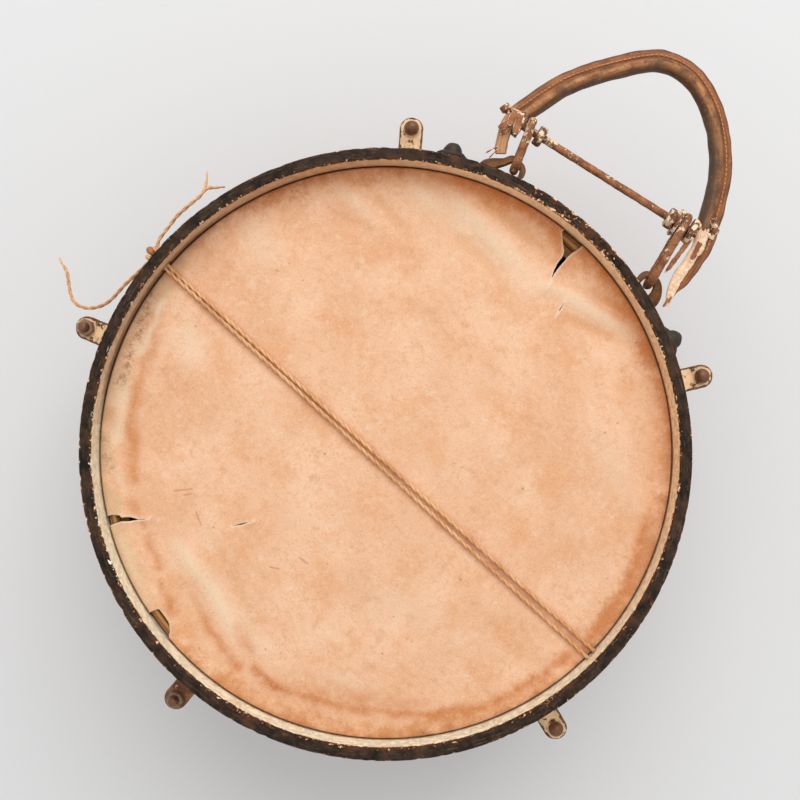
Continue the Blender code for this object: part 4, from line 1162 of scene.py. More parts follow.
def flaking_iron(name, paint_share, paint_colour, iron_colour, rust_colour):
    """Iron under old paint that has flaked off, most along its edges; a larger share leaves more paint."""
    iron = Finish(name, 0.6)
    iron.give("Specular IOR Level", 0.3)
    flake = iron.noise(0.0046, 6, 0.74)
    rust = iron.noise(0.006, 5, 0.68)
    pits = iron.noise(0.0011, 3, 0.6)
    bright = iron.noise(0.0028, 5, 0.7)
    iron.base(iron.step(rust, 0.36, 0.62), iron_colour, rust_colour)
    iron.wash((226, 170, 122), bright, 0.58, 0.74, 0.5)
    iron.wash((58, 36, 24), pits, 0.55, 0.75, 0.5)
    left = iron.math("SUBTRACT", flake, iron.product(iron.attribute("edge"), 0.2))
    low = 0.78 - 0.56 * paint_share
    painted = iron.step(left, low - 0.02, low + 0.02)
    rim = iron.math("SUBTRACT", iron.step(left, low - 0.06, low - 0.02), painted)
    iron.coat((96, 58, 36), rim, 0.6)
    old = iron.step(iron.noise(0.008, 4), 0.45, 0.72)
    iron.coat(iron.mix(old, paint_colour, dimmed(paint_colour, 0.74)), painted)
    iron.give("Metallic", iron.product(iron.math("SUBTRACT", 1.0, painted), 0.2))
    iron.give("Roughness", iron.sum(0.42, iron.product(rust, 0.3)))
    iron.bump(painted, 0.3 * MM)
    iron.bump(pits, 0.2 * MM)
    return iron.done()


def bare_iron(name, colour, rust_colour, rust_low=0.5):
    """Dull handled iron with rust in its hollows."""
    iron = Finish(name, 0.45)
    rust = iron.noise(0.005, 5, 0.65)
    pits = iron.noise(0.0009, 3, 0.6)
    iron.base(iron.step(rust, rust_low, rust_low + 0.2), colour, rust_colour)
    iron.wash((52, 34, 24), pits, 0.52, 0.72, 0.5)
    iron.give("Metallic", iron.product(iron.step(rust, rust_low + 0.2, rust_low - 0.05), 0.7))
    iron.give("Roughness", iron.sum(0.3, iron.product(rust, 0.45)))
    iron.bump(pits, 0.15 * MM)
    iron.bump(rust, 0.3 * MM)
    return iron.done()


def brass(name):
    metal = Finish(name, 0.3, 1.0)
    tarnish = metal.noise(0.004, 5, 0.65)
    metal.base(metal.step(tarnish, 0.4, 0.7), (196, 152, 84), (112, 82, 44))
    metal.give("Roughness", metal.sum(0.2, metal.product(tarnish, 0.4)))
    metal.bump(tarnish, 0.1 * MM)
    return metal.done()


def gut_finish(name):
    """Honey-coloured gut, with painted shade in the grooves of its twist."""
    gut = Finish(name, 0.5)
    gut.give("Specular IOR Level", 0.3)
    age = gut.noise(0.014, 5, 0.65)
    fibre = gut.noise(0.0012, 4, 0.7)
    gut.base(gut.step(age, 0.38, 0.66), (242, 190, 138), (216, 154, 102))
    gut.wash((176, 112, 66), fibre, 0.5, 0.7, 0.45)
    # Painted shade in the groove between the two plies.
    gut.coat((152, 92, 52), gut.attribute("groove"), 0.65)
    gut.bump(fibre, 0.3 * MM)
    return gut.done()


def leather(name, face, worn, scuffed, roughness):
    """Plain old leather with worn and scuffed places, fine creases and pale torn edges."""
    hide = Finish(name, roughness)
    hide.give("Specular IOR Level", 0.25)
    patch = hide.noise(0.009, 5, 0.68)
    fine = hide.noise(0.002, 5, 0.75)
    hide.base(hide.step(patch, 0.36, 0.62), face, worn)
    hide.wash(scuffed, fine, 0.54, 0.72, 0.7)
    hide.coat(dimmed(worn, 0.4), hide.step(fine, 0.44, 0.28), 0.6)
    torn = hide.sum(hide.attribute("torn"), hide.sway(fine, 1.6))
    hide.wash((255, 230, 204), torn, 0.62, 0.8)
    hide.bump(hide.cells(0.0011), 0.1 * MM)
    hide.bump(fine, 0.25 * MM)
    return hide.done()


def grip_leather(name):
    """The grip's leather: a painted highlight and painted shade on its roll, darker where held, sewn along
    its edge with painted shade in the valley beside it, and peeled pale at its ends.
    """
    hide = Finish(name, 0.5)
    hide.give("Specular IOR Level", 0.35)
    along = hide.attribute("along")
    across = hide.attribute("across")
    drawn = hide.vector(hide.math("DIVIDE", along, 0.022), hide.math("DIVIDE", across, 0.35), 0.0)
    streak = hide.noise(1.0, 6, 0.7, drawn)
    patch = hide.noise(0.012, 6, 0.7)
    fine = hide.noise(0.0022, 5, 0.75)
    hide.base(hide.step(streak, 0.36, 0.64), (170, 106, 58), (104, 64, 36))
    roll_highlight_shade_and_grime(hide, along, across, patch)
    darken_seam(hide, across, streak, patch)
    tan = hide.step(along, 34 * MM, 26 * MM)
    hide.coat((214, 162, 116), tan, hide.step(streak, 0.3, 0.6), 0.8)
    hide.wash((222, 166, 118), fine, 0.56, 0.74, 0.45)
    hide.wash((54, 36, 24), fine, 0.43, 0.27, 0.5)
    peel = hide.sum(hide.attribute("peel"), hide.sway(patch, 1.7), hide.sway(fine, 1.3))
    hide.wash((96, 56, 34), peel, 0.38, 0.5, 0.75)
    bare = hide.mix(hide.step(fine, 0.36, 0.6), (255, 232, 202), (234, 186, 144))
    hide.wash(bare, peel, 0.53, 0.57)
    hide.give("Roughness", hide.sum(0.36, hide.product(patch, 0.3)))
    hide.bump(hide.cells(0.001), 0.08 * MM)
    hide.bump(streak, 0.4 * MM)
    hide.bump(patch, 0.5 * MM)
    hide.bump(hide.step(peel, 0.57, 0.5), 0.5 * MM)
    return hide.done()


def roll_highlight_shade_and_grime(hide, along, across, patch):
    """The roll of the grip: a painted highlight along its middle, painted shade along its inner edge, and
    dark where hands have held it.
    """
    # Painted highlight along the middle of the roll.
    crown_highlight = hide.step(hide.math("ABSOLUTE", hide.sum(across, 0.42)), 0.46, 0.05)
    hide.coat((206, 146, 92), crown_highlight, hide.step(patch, 0.56, 0.36), 0.7)
    hide.wash((82, 62, 46), patch, 0.49, 0.63, hide.step(across, 0.2, 0.0), 0.65)
    # Painted shade along the roll's inner edge.
    hide.wash((72, 52, 38), across, -0.62, -1.1, 0.8)
    inner = hide.step(hide.sum(across, hide.sway(patch, 0.8)), 0.0, -0.6)
    hide.coat((80, 60, 44), hide.product(hide.step(along, 0.16, 0.21), inner), 0.6)


def darken_seam(hide, across, streak, patch):
    """The sewn edge of the grip, painted shade in the valley beside it, and its dark outer side."""
    flange = hide.step(across, GRIP_VALLEY, GRIP_VALLEY + 0.08)
    hide.coat((164, 96, 48), flange, 0.75)
    hide.coat((100, 60, 34), flange, hide.step(streak, 0.46, 0.64), 0.75)
    # Painted shade in the valley between the roll and the sewn edge.
    valley = hide.step(hide.math("ABSOLUTE", hide.sum(across, -GRIP_VALLEY)), 0.08, 0.0)
    hide.coat((66, 40, 24), valley, 0.6)
    hide.coat((64, 44, 30), hide.step(hide.sum(across, hide.sway(patch, 0.7)), 0.66, 0.95), 0.8)


def thread_finish(name):
    yarn = Finish(name, 0.75)
    ply = yarn.noise(0.0005, 3)
    yarn.base(yarn.step(ply, 0.4, 0.65), (216, 150, 98), (160, 98, 56))
    yarn.bump(ply, 0.1 * MM)
    return yarn.done()


def floor_finish(name):
    ground = Finish(name, 0.9)
    ground.base(ground.noise(0.7, 3), (227, 227, 227), (229, 229, 229))
    ground.bump(ground.noise(0.004, 3), 0.05 * MM)
    return ground.done()


# Camera, light and floor

def make_camera():
    data = bpy.data.cameras.new("photo_camera")
    data.sensor_width = SENSOR_WIDTH
    data.lens = SENSOR_WIDTH * FOCAL_PIXELS / PHOTO_SIZE
    camera = bpy.data.objects.new("photo_camera", data)
    bpy.context.scene.collection.objects.link(camera)
    camera.location = CENTRE + Vector((*CAMERA_FOOT, RIM_TOP + CAMERA_ABOVE_RIM))
    camera.rotation_euler = (0, 0, CAMERA_TURN)
    bpy.context.scene.camera = camera


def make_key():
    """A large soft lamp above the upper edge of the photograph."""
    data = bpy.data.lights.new("key", "AREA")
    data.shape = "DISK"
    data.size = KEY_SIZE
    data.energy = KEY_POWER
    key = bpy.data.objects.new("key", data)
    bpy.context.scene.collection.objects.link(key)
    rise = math.radians(KEY_ELEVATION)
    away = polar(math.cos(rise), PHOTO_UP + KEY_TURN, math.sin(rise))
    key.location = CENTRE + away * KEY_DISTANCE
    key.rotation_euler = away.to_track_quat("Z", "Y").to_euler()
    key.visible_camera = False


def make_world():
    """White light from all round, a little brighter where the camera or a reflection sees it."""
    world = bpy.data.worlds.new("studio")
    bpy.context.scene.world = world
    world.use_nodes = True
    nodes = world.node_tree.nodes
    links = world.node_tree.links
    path = nodes.new("ShaderNodeLightPath").outputs
    seen = path["Is Camera Ray"]
    for ray in ("Is Glossy Ray", "Is Transmission Ray"):
        either = nodes.new("ShaderNodeMath")
        either.operation = "MAXIMUM"
        links.new(seen, either.inputs[0])
        links.new(path[ray], either.inputs[1])
        seen = either.outputs[0]
    shown = nodes.new("ShaderNodeMapRange")
    links.new(seen, shown.inputs["Value"])
    shown.inputs["To Min"].default_value = FILL_STRENGTH
    shown.inputs["To Max"].default_value = BACKDROP
    sky = nodes["Background"]
    sky.inputs["Color"].default_value = (1.0, 1.0, 1.0, 1.0)
    links.new(shown.outputs[0], sky.inputs["Strength"])


def make_light():
    make_key()
    make_world()
    bpy.context.scene.view_settings.view_transform = "Standard"


def make_floor():
    mesh = bpy.data.meshes.new("floor")
    half = FLOOR_SIZE / 2
    corners = [(-half, -half, 0), (half, -half, 0), (half, half, 0), (-half, half, 0)]
    mesh.from_pydata(corners, [], [(0, 1, 2, 3)])
    floor = bpy.data.objects.new("floor", mesh)
    bpy.context.scene.collection.objects.link(floor)
    mesh.materials.append(floor_finish("pale_floor"))


# Gut and its tails

def twisted(radius, lay=GUT_LAY, taper=0.0):
    """The section of a two-ply gut, which turns once in its lay; taper thins its far end."""
    def section(travelled, whole):
        turn = 2 * math.pi * travelled / lay
        left = whole - travelled
        full = radius * (0.45 + 0.55 * min(1.0, left / taper)) if taper else radius
        ring = []
        for angle in turns(GUT_SIDES):
            reach = full * (0.58 + 0.42 * abs(math.cos(angle - turn)))
            ring.append((reach * math.cos(angle), reach * math.sin(angle)))
        return ring
    return section


def mark_groove(mesh, route, lay):
    """Notes how deep each point of a gut lies in the groove between its two plies."""
    depths = []
    for travelled in travelled_along(route):
        turn = 2 * math.pi * travelled / lay
        depths += [1 - abs(math.cos(angle - turn)) for angle in turns(GUT_SIDES)]
    note(mesh, "groove", [max(0.0, depth - 0.45) / 0.55 for depth in depths])


def gut_at_hook(start, across, aside):
    """One strand of the gut from the hook up to the gate in the hoop."""
    reach = HOOK_SHANK_AT + HOOK_BEND
    foot = RIM_TOP - HOOK_TOP_DEPTH - GUT_ON_HOOK
    strand = (
        (reach, LOOP_OFFSET, foot),
        (reach, LOOP_OFFSET, foot + GUT_RISE_AT_HOOK),
        (reach - 0.6 * MM, LOOP_OFFSET, GUT_HEIGHT - 2.6 * MM),
        (reach - 2.4 * MM, LOOP_OFFSET, GUT_HEIGHT - 0.5 * MM),
        (HOOP_OUTER + 1.5 * MM, LOOP_OFFSET - 1.0 * MM, GUT_HEIGHT),
    )
    points = []
    for out, beside, height in strand:
        lift = Vector((0, 0, height - GUT_HEIGHT))
        points.append(start - across * (out - HOOP_INNER) + aside * beside + lift)
    return points


def gut_at_anchor(end, across, aside):
    """One strand of the gut out of the far gate, down the hoop and half way round the anchor button."""
    wall = HOOP_OUTER - HOOP_INNER
    off = GUT_RADIUS + GUT_OFF_HOOP
    far = STRAND_OFFSETS[1]
    button = RIM_TOP - ANCHOR_DEPTH - GUT_HEIGHT
    points = [
        end + across * (wall + 0.6 * MM) + aside * far + Vector((0, 0, -0.1 * MM)),
        end + across * (wall + off) + aside * (far + 0.3 * MM) + Vector((0, 0, -2.4 * MM)),
    ]
    for angle in arc(0, -90, 4):
        low = Vector((0, 0, button + LOOP_OFFSET * math.sin(angle)))
        points.append(end + across * (wall + off) + aside * (LOOP_OFFSET * math.cos(angle)) + low)
    return points


def snare_route():
    """The gut from the hook, across the head, round the anchor button and back to the hook."""
    start = Vector((*GUT_HOOK_END, GUT_HEIGHT))
    end = Vector((*GUT_ANCHOR_END, GUT_HEIGHT))
    across = (end - start).normalized()
    aside = Vector((across.y, -across.x, 0))
    near, far = STRAND_OFFSETS
    half = gut_at_hook(start, across, aside)
    for i in range(STRAND_SPANS + 1):
        share = i / STRAND_SPANS
        half.append(start.lerp(end, share) + aside * (near + (far - near) * share ** 1.3))
    half += gut_at_anchor(end, across, aside)
    back = [point - aside * (2 * (point - start).dot(aside)) for point in reversed(half[:-1])]
    return half + back


def build_gut(gut):
    route = even_route(smooth_route(snare_route(), 8), GUT_STEP)
    mesh = sweep("snare_gut", route, twisted(GUT_RADIUS), up=(0, 1, 0))
    mark_groove(mesh, route, GUT_LAY)
    strand = bpy.data.objects.new("snare_gut_strands", mesh)
    bpy.context.scene.collection.objects.link(strand)
    mesh.materials.append(gut)
    mesh.shade_smooth()
    strand.location = CENTRE
    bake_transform(strand)
    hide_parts("snare_gut")


def below_rim(points):
    """Points of a gut tail, placed from the drum's middle."""
    return [Vector((x * MM, y * MM, RIM_TOP - depth * MM)) for x, y, depth in points]


def loose_fibres(placed):
    """A few loose fibres at the free end of a gut."""
    rng = random.Random(SEED)
    tip = placed[-1]
    ahead = (placed[-1] - placed[-2]).normalized()
    fibres = []
    for number in range(FRAY_COUNT):
        spread = Vector((rng.uniform(-1, 1), rng.uniform(-1, 1), rng.uniform(-0.6, 0.4)))
        ends = [
            tip - ahead * 4 * MM, tip - ahead * 1 * MM + spread * 0.6 * MM,
            tip + ahead * 2.5 * MM + spread * 2 * MM,
        ]
        fibres.append(sweep("fray", smooth_route(ends, 5), lambda d, w: oval(0.3 * MM, 0.2 * MM, 6)))
    return fibres


def build_tail(name, route_points, gut, splits, node):
    placed = below_rim(route_points)
    route = even_route(smooth_route(placed, 8), GUT_STEP)
    mesh = sweep(name, route, twisted(GUT_RADIUS, taper=TAIL_TAPER))
    mark_groove(mesh, route, GUT_LAY)
    tail = piece(name, mesh, gut, "snare_hook", node, slot="gut")
    frays = []
    for split in splits:
        line = even_route(smooth_route(below_rim(split), 6), GUT_STEP)
        frays.append(sweep("fray", line, twisted(*SPLIT_GUT)))
    frays += loose_fibres(placed)
    fringe = piece(name + "_frays", joined(name + "_frays", frays), gut, "snare_hook", slot="gut")


# Skins

def segment_distance(points, a, b):
    """Distance of each plan point from the line between two others, and its share of the way along it."""
    line = b - a
    share = np.clip(((points - a) @ line) / max(line @ line, 1e-12), 0, 1)
    return np.linalg.norm(points - a - share[:, None] * line, axis=1), share


def outline_distance(points, outlines):
    """Distance of each plan point from the nearest of the closed outlines."""
    best = np.full(len(points), 1.0)
    for outline in outlines:
        starts = np.array(outline)
        ends = np.roll(starts, -1, axis=0)
        for a, b in zip(starts, ends):
            best = np.minimum(best, segment_distance(points, a, b)[0])
    return best


def inside_outline(points, outline):
    """Which plan points lie inside a closed outline."""
    x, y = points[:, 0], points[:, 1]
    found = np.zeros(len(points), bool)
    for (ax, ay), (bx, by) in zip(outline, outline[1:] + outline[:1]):
        if ay == by:
            continue
        crosses = (ay > y) != (by > y)
        found ^= crosses & (x < (bx - ax) * (y - ay) / (by - ay) + ax)
    return found


def hex_points(radius, spacing, rng):
    """Plan points over a disc, a spacing apart and slightly uneven."""
    points = []
    rows = int(radius / (spacing * HEX_ROW)) + 1
    for row in range(-rows, rows + 1):
        y = row * spacing * HEX_ROW
        for column in range(-rows - 1, rows + 2):
            x = (column + 0.5 * (row % 2)) * spacing
            x += rng.uniform(-HEX_JITTER, HEX_JITTER) * spacing
            spot = (x, y + rng.uniform(-HEX_JITTER, HEX_JITTER) * spacing)
            if math.hypot(*spot) < radius:
                points.append(spot)
    return np.array(points)


def tear_outline(pixels, rng):
    """A tear in plan: ragged, and drawn out past the rim where it reaches it."""
    corners = []
    for pixel in pixels:
        spot = seen_at(pixel, HEAD_TOP)
        reach = spot.length
        if reach > CREST_RADIUS:
            spot = spot * ((CREST_RADIUS + TEAR_STRETCH * (reach - CREST_RADIUS)) / reach)
        corners.append(spot)
    points = []
    for spot in divided(corners, TEAR_SPACING):
        x = spot.x + rng.uniform(-TEAR_JITTER, TEAR_JITTER)
        points.append((x, spot.y + rng.uniform(-TEAR_JITTER, TEAR_JITTER)))
    return points


def crease_rise(spots):
    """Height of the creases at plan points, and how deep in a valley (-1) or on a ridge (1) each lies."""
    rise = np.zeros(len(spots))
    for first, second, width, height in CREASES:
        a = np.array(seen_at(first, HEAD_TOP))
        b = np.array(seen_at(second, HEAD_TOP))
        away, share = segment_distance(spots, a, b)
        taper = np.sin(np.pi * np.clip(0.12 + 0.76 * share, 0, 1))
        rise += height * taper * np.exp(-((away / (width * MM)) ** 2))
    return rise * MM, np.clip(rise, -1, 1)


def stroke_share(spots, strokes):
    """How strongly each plan point lies on a set of wavering strokes."""
    waver = []
    for x, y in spots:
        at = Vector((x, y, 0.0)) / STROKE_WAVER_SIZE
        waver.append((noise.noise(at), noise.noise(at + Vector((0, 0, 4.3)))))
    spots = spots + STROKE_WAVER * np.array(waver)
    share = np.zeros(len(spots))
    for pixels, width, strength in strokes:
        line = [np.array(seen_at(pixel, HEAD_TOP)) for pixel in pixels]
        for a, b in zip(line, line[1:]):
            away = segment_distance(spots, a, b)[0]
            share = np.maximum(share, strength * np.exp(-((away / (width * MM)) ** 2)))
    return share


def skin_points(outlines, rng):
    """Inner points of a head in plan: an even spread, rings over the bearing edge, more round the tears."""
    coarse = hex_points(CREST_RADIUS - 2 * MM, SKIN_SPACING, rng)
    rolled = []
    for ring in range(ROLL_RINGS):
        reach = CREST_RADIUS + ROLL_LENGTH * ring / ROLL_RINGS
        rolled += [(reach * math.cos(t), reach * math.sin(t)) for t in turns(RIM_STEPS, 0.5 * (ring % 2))]
    points = np.concatenate([coarse, np.array(rolled)])
    if outlines:
        points = points[outline_distance(points, outlines) > TEAR_REACH * 0.9]
        fine = hex_points(CREST_RADIUS + ROLL_LENGTH, TEAR_SPACING * 1.2, rng)
        away = outline_distance(fine, outlines)
        points = np.concatenate([points, fine[(away < TEAR_REACH) & (away > TEAR_SPACING * 0.5)]])
    return points


def skin_plan(outlines, rng):
    """The points and triangles of a head in plan, with the tears left out."""
    edge = CREST_RADIUS + ROLL_LENGTH
    rim = [(edge * math.cos(t), edge * math.sin(t)) for t in turns(RIM_STEPS)]
    points = []
    edges = []
    for outline in [rim] + outlines:
        first = len(points)
        points += [Vector(p) for p in outline]
        edges += [(first + i, first + (i + 1) % len(outline)) for i in range(len(outline))]
    points += [Vector(p) for p in skin_points(outlines, rng)]
    spots, _, faces = delaunay_2d_cdt(points, edges, [], 0, MERGE_DISTANCE)[:3]
    spots = np.array([tuple(s) for s in spots])
    faces = np.array([f for f in faces if len(f) == 3])
    middles = spots[faces].mean(axis=1)
    keep = np.linalg.norm(middles, axis=1) < edge
    for outline in outlines:
        keep &= ~inside_outline(middles, outline)
    faces = faces[keep]
    used = np.unique(faces)
    place_of = np.full(len(spots), -1)
    place_of[used] = np.arange(len(used))
    return spots[used], place_of[faces]


def waves(spots, size, level):
    """Soft waves of about a size over plan points; the level tells sets of waves apart."""
    return np.array([noise.noise(Vector((x, y, level)) / size) for x, y in spots])


def skin_places(spots, rise, torn):
    """Plan points of a head, lifted by creases, waves and curled tears and rolled over the bearing edge."""
    reach = np.linalg.norm(spots, axis=1)
    fade = np.clip((CREST_RADIUS - FLAT_EDGE - reach) / FLAT_FADE, 0, 1)
    fade = fade * fade * (3 - 2 * fade)
    swell = waves(spots, WAVE_SIZE, 0.0) - 0.35
    curl = 0.9 * waves(spots, CURL_SIZE, 0.3) + 0.5
    rise = rise + WAVE_RISE * swell + RIPPLE_RISE * waves(spots, RIPPLE_SIZE, 0.7)
    rise = rise + CURL_RISE * curl * np.exp(-torn / CURL_REACH)
    turn = np.clip((reach - CREST_RADIUS) / ROLL_LENGTH, 0, 1) * math.pi / 2
    out = np.where(reach > CREST_RADIUS, CREST_RADIUS + (SKIN_EDGE - CREST_RADIUS) * np.sin(turn), reach)
    drop = (HEAD_TOP - HEAD_FOOT) * (1 - np.cos(turn))
    scale = out / np.maximum(reach, 1e-9)
    return np.column_stack([spots * scale[:, None], HEAD_TOP - drop + rise * fade])


def skin_mesh(name, tears):
    """A head: flat to the bearing edge, then rolled down over it, with tears cut out and edges lifted."""
    rng = random.Random(SEED)
    outlines = [tear_outline(pixels, rng) for pixels in tears.values()]
    spots, faces = skin_plan(outlines, rng)
    none = np.zeros(len(spots))
    torn = outline_distance(spots, outlines)
    rise, fold_shading = crease_rise(spots) if outlines else (none, none)
    mesh = bpy.data.meshes.new(name)
    mesh.from_pydata(skin_places(spots, rise, torn).tolist(), [], faces.tolist())
    note(mesh, "torn", np.exp(-torn / TORN_EDGE))
    # How deep in a crease valley or how high on a crease ridge each point lies, for the painted shade and
    # highlight of the creases.
    note(mesh, "fold_shading", fold_shading)
    for kind, strokes in (("stain", STAIN_STROKES), ("dark_streak", DARK_STROKES), ("bloom", BLOOM_STROKES)):
        note(mesh, kind, stroke_share(spots, strokes) if outlines else none)
    return mesh


def puckered(point):
    """Skin gathered unevenly where it is lapped round the flesh hoop."""
    return point + Vector((point.x, point.y, 0)) * (PUCKER * noise.noise(point / PUCKER_SIZE) - PUCKER)


def lap_profile():
    """The lapped edge of a skin: down inside the flesh hoop, under it and up outside it."""
    top = HOOP_FOOT - LAP_BELOW_HOOP
    corners = [
        (HEAD_EDGE, HEAD_FOOT - GAP), (HEAD_EDGE - SKIN, HEAD_FOOT - GAP),
        (HEAD_EDGE - SKIN, LAP_FOOT), (LAP_OUTER, LAP_FOOT), (LAP_OUTER, top), (LAP_OUTER - SKIN, top),
        (LAP_OUTER - SKIN, LAP_FOOT + SKIN), (HEAD_EDGE, LAP_FOOT + SKIN),
    ]
    return rounded(corners, LAP_ROUNDING)


def build_heads(skins):
    for side, tears in (("snare", TEARS), ("batter", {})):
        slot = side + "_calfskin"
        mesh = turned_over(skin_mesh(side + "_skin", tears), side)
        skin = piece(side + "_skin", mesh, skins[side], "drum", side + "_head", slot=slot)
        solid = skin.modifiers.new("thickness", "SOLIDIFY")
        solid.thickness = SKIN
        solid.offset = -1.0
        mesh = turned_over(ring_mesh(side + "_lap", lap_profile(), puckered), side)
        lap_piece = piece(side + "_skin_lap", mesh, skins[side], "drum", side + "_head_lap", slot=slot)


# Wooden pieces

def hoop_wear(point):
    """Nicks along the rim's edges and a slightly uneven bend."""
    reach = math.hypot(point.x, point.y)
    out = Vector((point.x, point.y, 0)) / reach
    uneven = BEND_DEPTH * noise.noise(point / BEND_SIZE)
    near_top = max(0.0, 1 - (RIM_TOP - point.z) / NICK_REACH)
    nick = NICK_DEPTH * max(0.0, noise.noise(point / NICK_SIZE) - NICK_LEVEL) * near_top
    towards_middle = 1 if reach < (HOOP_INNER + HOOP_OUTER) / 2 else -1
    return point + out * (uneven + nick * towards_middle) - Vector((0, 0, nick))


def gate_box(end):
    """The space of a gate in the hoop, at an end of the gut."""
    azimuth = math.degrees(math.atan2(end[1], end[0]))
    middle = (HOOP_OUTER + HOOP_INNER) / 2
    return box_mesh((GATE_LENGTH, GATE_WIDTH, GATE_HEIGHT), upright(middle, azimuth, GUT_HEIGHT + GAP))


def build_hoops(finish):
    corners = [
        (HOOP_OUTER, RIM_TOP), (HOOP_OUTER, HOOP_FOOT), (HOOP_INNER, HOOP_FOOT), (HOOP_INNER, RIM_TOP),
    ]
    profile = divided(rounded(corners, HOOP_ROUNDING, 4), HOOP_FACE_LENGTH)
    for side in ("snare", "batter"):
        mesh = turned_over(ring_mesh(side + "_rim", profile, hoop_wear, HOOP_STEPS), side)
        if side == "snare":
            mesh = cut(mesh, [gate_box(end) for end in (GUT_HOOK_END, GUT_ANCHOR_END)])
        piece(side + "_rim", mesh, finish, "drum", side + "_counter_hoop", slot="hoop_paint")


def build_shell(wood):
    crest = SHELL_RADIUS - CREST_INSET
    top = [
        (SHELL_RADIUS - SHELL_WALL, SHELL_TOP - INNER_SLOPE_DROP),
        (crest - CREST_SLOPE, SHELL_TOP - SHOULDER_DROP),
        (crest, SHELL_TOP),
        (SHELL_RADIUS - SHOULDER_INSET, SHELL_TOP - SHOULDER_DROP),
        (SHELL_RADIUS, SHELL_TOP - OUTER_SLOPE_DROP),
    ]
    corners = top + [(r, -z) for r, z in reversed(top)]
    profile = divided(rounded(corners, SHELL_ROUNDING, 2), SHELL_FACE_LENGTH)
    vent = rod_mesh(VENT_HOLE, VENT_CUT, radial(SHELL_RADIUS, VENT_AZIMUTH, 0))
    mesh = cut(ring_mesh("shell_wall", profile), [vent])
    piece("shell_wall", mesh, wood, "drum", "shell", slot="shell_wood")


# Iron pieces

def ear_line():
    """The middle of an ear's strap: down its leg, round its bend and out along its tab."""
    face = HOOP_OUTER + GAP + EAR_THICKNESS / 2
    low = HOOP_FOOT + EAR_THICKNESS / 2
    line = [Vector((face, 0, HOOP_FOOT + EAR_LEG_HEIGHT))]
    for angle in arc(180, 270, 8):
        out = face + EAR_BEND * (1 + math.cos(angle))
        line.append(Vector((out, 0, low + EAR_BEND * (1 + math.sin(angle)))))
    line.append(Vector((ROD_CIRCLE + EAR_WIDTH / 2 - EAR_TIP_INSET, 0, low)))
    return even_route(line, EAR_STEP)


def ear_half_width(travelled, whole):
    """Half the width of an ear's strap, with rounded corners at its top and a round end."""
    half = EAR_WIDTH / 2
    left = whole - travelled
    if left < half:
        return half * math.sqrt(max(0.0, 1 - (1 - left / half) ** 2)) + TIP_RADIUS
    if travelled < EAR_CORNER:
        return half - EAR_CORNER + EAR_CORNER * math.sqrt(max(0.0, 1 - (1 - travelled / EAR_CORNER) ** 2))
    return half


def ear_section(travelled, whole):
    """A flat strap with soft edges."""
    width = ear_half_width(travelled, whole)
    thick = EAR_THICKNESS / 2
    flat = [max(width - EAR_SOFT_EDGE, 0.01 * MM), max(width - EAR_RUB, 0.006 * MM), width / 3]
    top = [(u, thick) for u in flat] + [(-u, thick) for u in reversed(flat)]
    side = [(width, EAR_SOFT_EDGE - thick), (width, thick - EAR_SOFT_EDGE)]
    return side + top + [(-u, -v) for u, v in side] + [(-u, -v) for u, v in top]


def ear_mesh():
    """An iron strap bent square: a leg up the hoop, and a tab with a round end and a hole for the rod."""
    route = ear_line()
    mesh = sweep("ear", route, ear_section, up=(1, 0, 0))
    travelled = travelled_along(route)
    edges = []
    for distance in travelled:
        near_end = max(0.0, 1 - min(travelled[-1] - distance, distance) / EAR_RUB)
        edges += 2 * ([1.0, 1.0, 1.0] + 4 * [near_end] + [1.0])
    note(mesh, "edge", edges)
    hole_at = Matrix.Translation((ROD_CIRCLE, 0, HOOP_FOOT + EAR_THICKNESS / 2))
    return cut(mesh, [rod_mesh(ROD_HOLE, EAR_CUT, hole_at)])


def screw_mesh(head_radius, head_height, shank_radius, reach):
    """A round-headed screw along Z, its head above zero, with a slot across it."""
    profile = [(TIP_RADIUS, head_height)]
    for angle in arc(90, 0, 8)[1:]:
        profile.append((head_radius * math.cos(angle), head_height * math.sin(angle)))
    profile += [(shank_radius, 0.0), (shank_radius, -reach), (TIP_RADIUS, -reach)]
    size = (3 * head_radius, 0.26 * head_radius, head_height)
    slot = box_mesh(size, Matrix.Translation((0, 0, head_height)))
    return cut(turned_mesh("screw", profile, SCREW_SIDES), [slot])


def build_ears(paint, rusty, iron):
    shape = ear_mesh()
    screw = screw_mesh(*EAR_SCREW)
    seat = HOOP_OUTER + GAP + EAR_THICKNESS
    rng = random.Random(SEED)
    for side, over in (("snare", Matrix.Identity(4)), ("batter", FLIP)):
        for number, azimuth in enumerate(EAR_AZIMUTHS, start=1):
            turned_by = -azimuth if side == "batter" else azimuth
            turn = over @ Matrix.Rotation(math.radians(turned_by), 4, "Z")
            name = "%s_ear_%d" % (side, number)
            ear = roughened(moved(shape.copy(), turn), *EAR_UNEVEN, number)
            finish = rusty if name in RUSTY_EARS else paint
            piece(name + "_strap", ear, finish, "drum", name, slot="cream_iron")
            spin = Matrix.Rotation(rng.uniform(0, math.pi), 4, "Z")
            at = over @ radial(seat, turned_by, HOOP_FOOT + EAR_SCREW_RISE) @ spin
            piece(name + "_screw", moved(screw.copy(), at), iron, "drum", slot="dull_iron")


def threaded(low, high, sides, radius):
    """Rings of a screw thread along Z, from high to low."""
    count = int((high - low) / THREAD_PITCH * THREAD_RINGS)
    rings = []
    for i in range(count + 1):
        z = high - (high - low) * i / count
        ring = []
        for j, angle in enumerate(turns(sides)):
            phase = (z / THREAD_PITCH + j / sides) % 1.0
            out = radius - THREAD_DEPTH * abs(2 * phase - 1)
            ring.append(Vector((out * math.cos(angle), out * math.sin(angle), z)))
        rings.append(ring)
    return rings


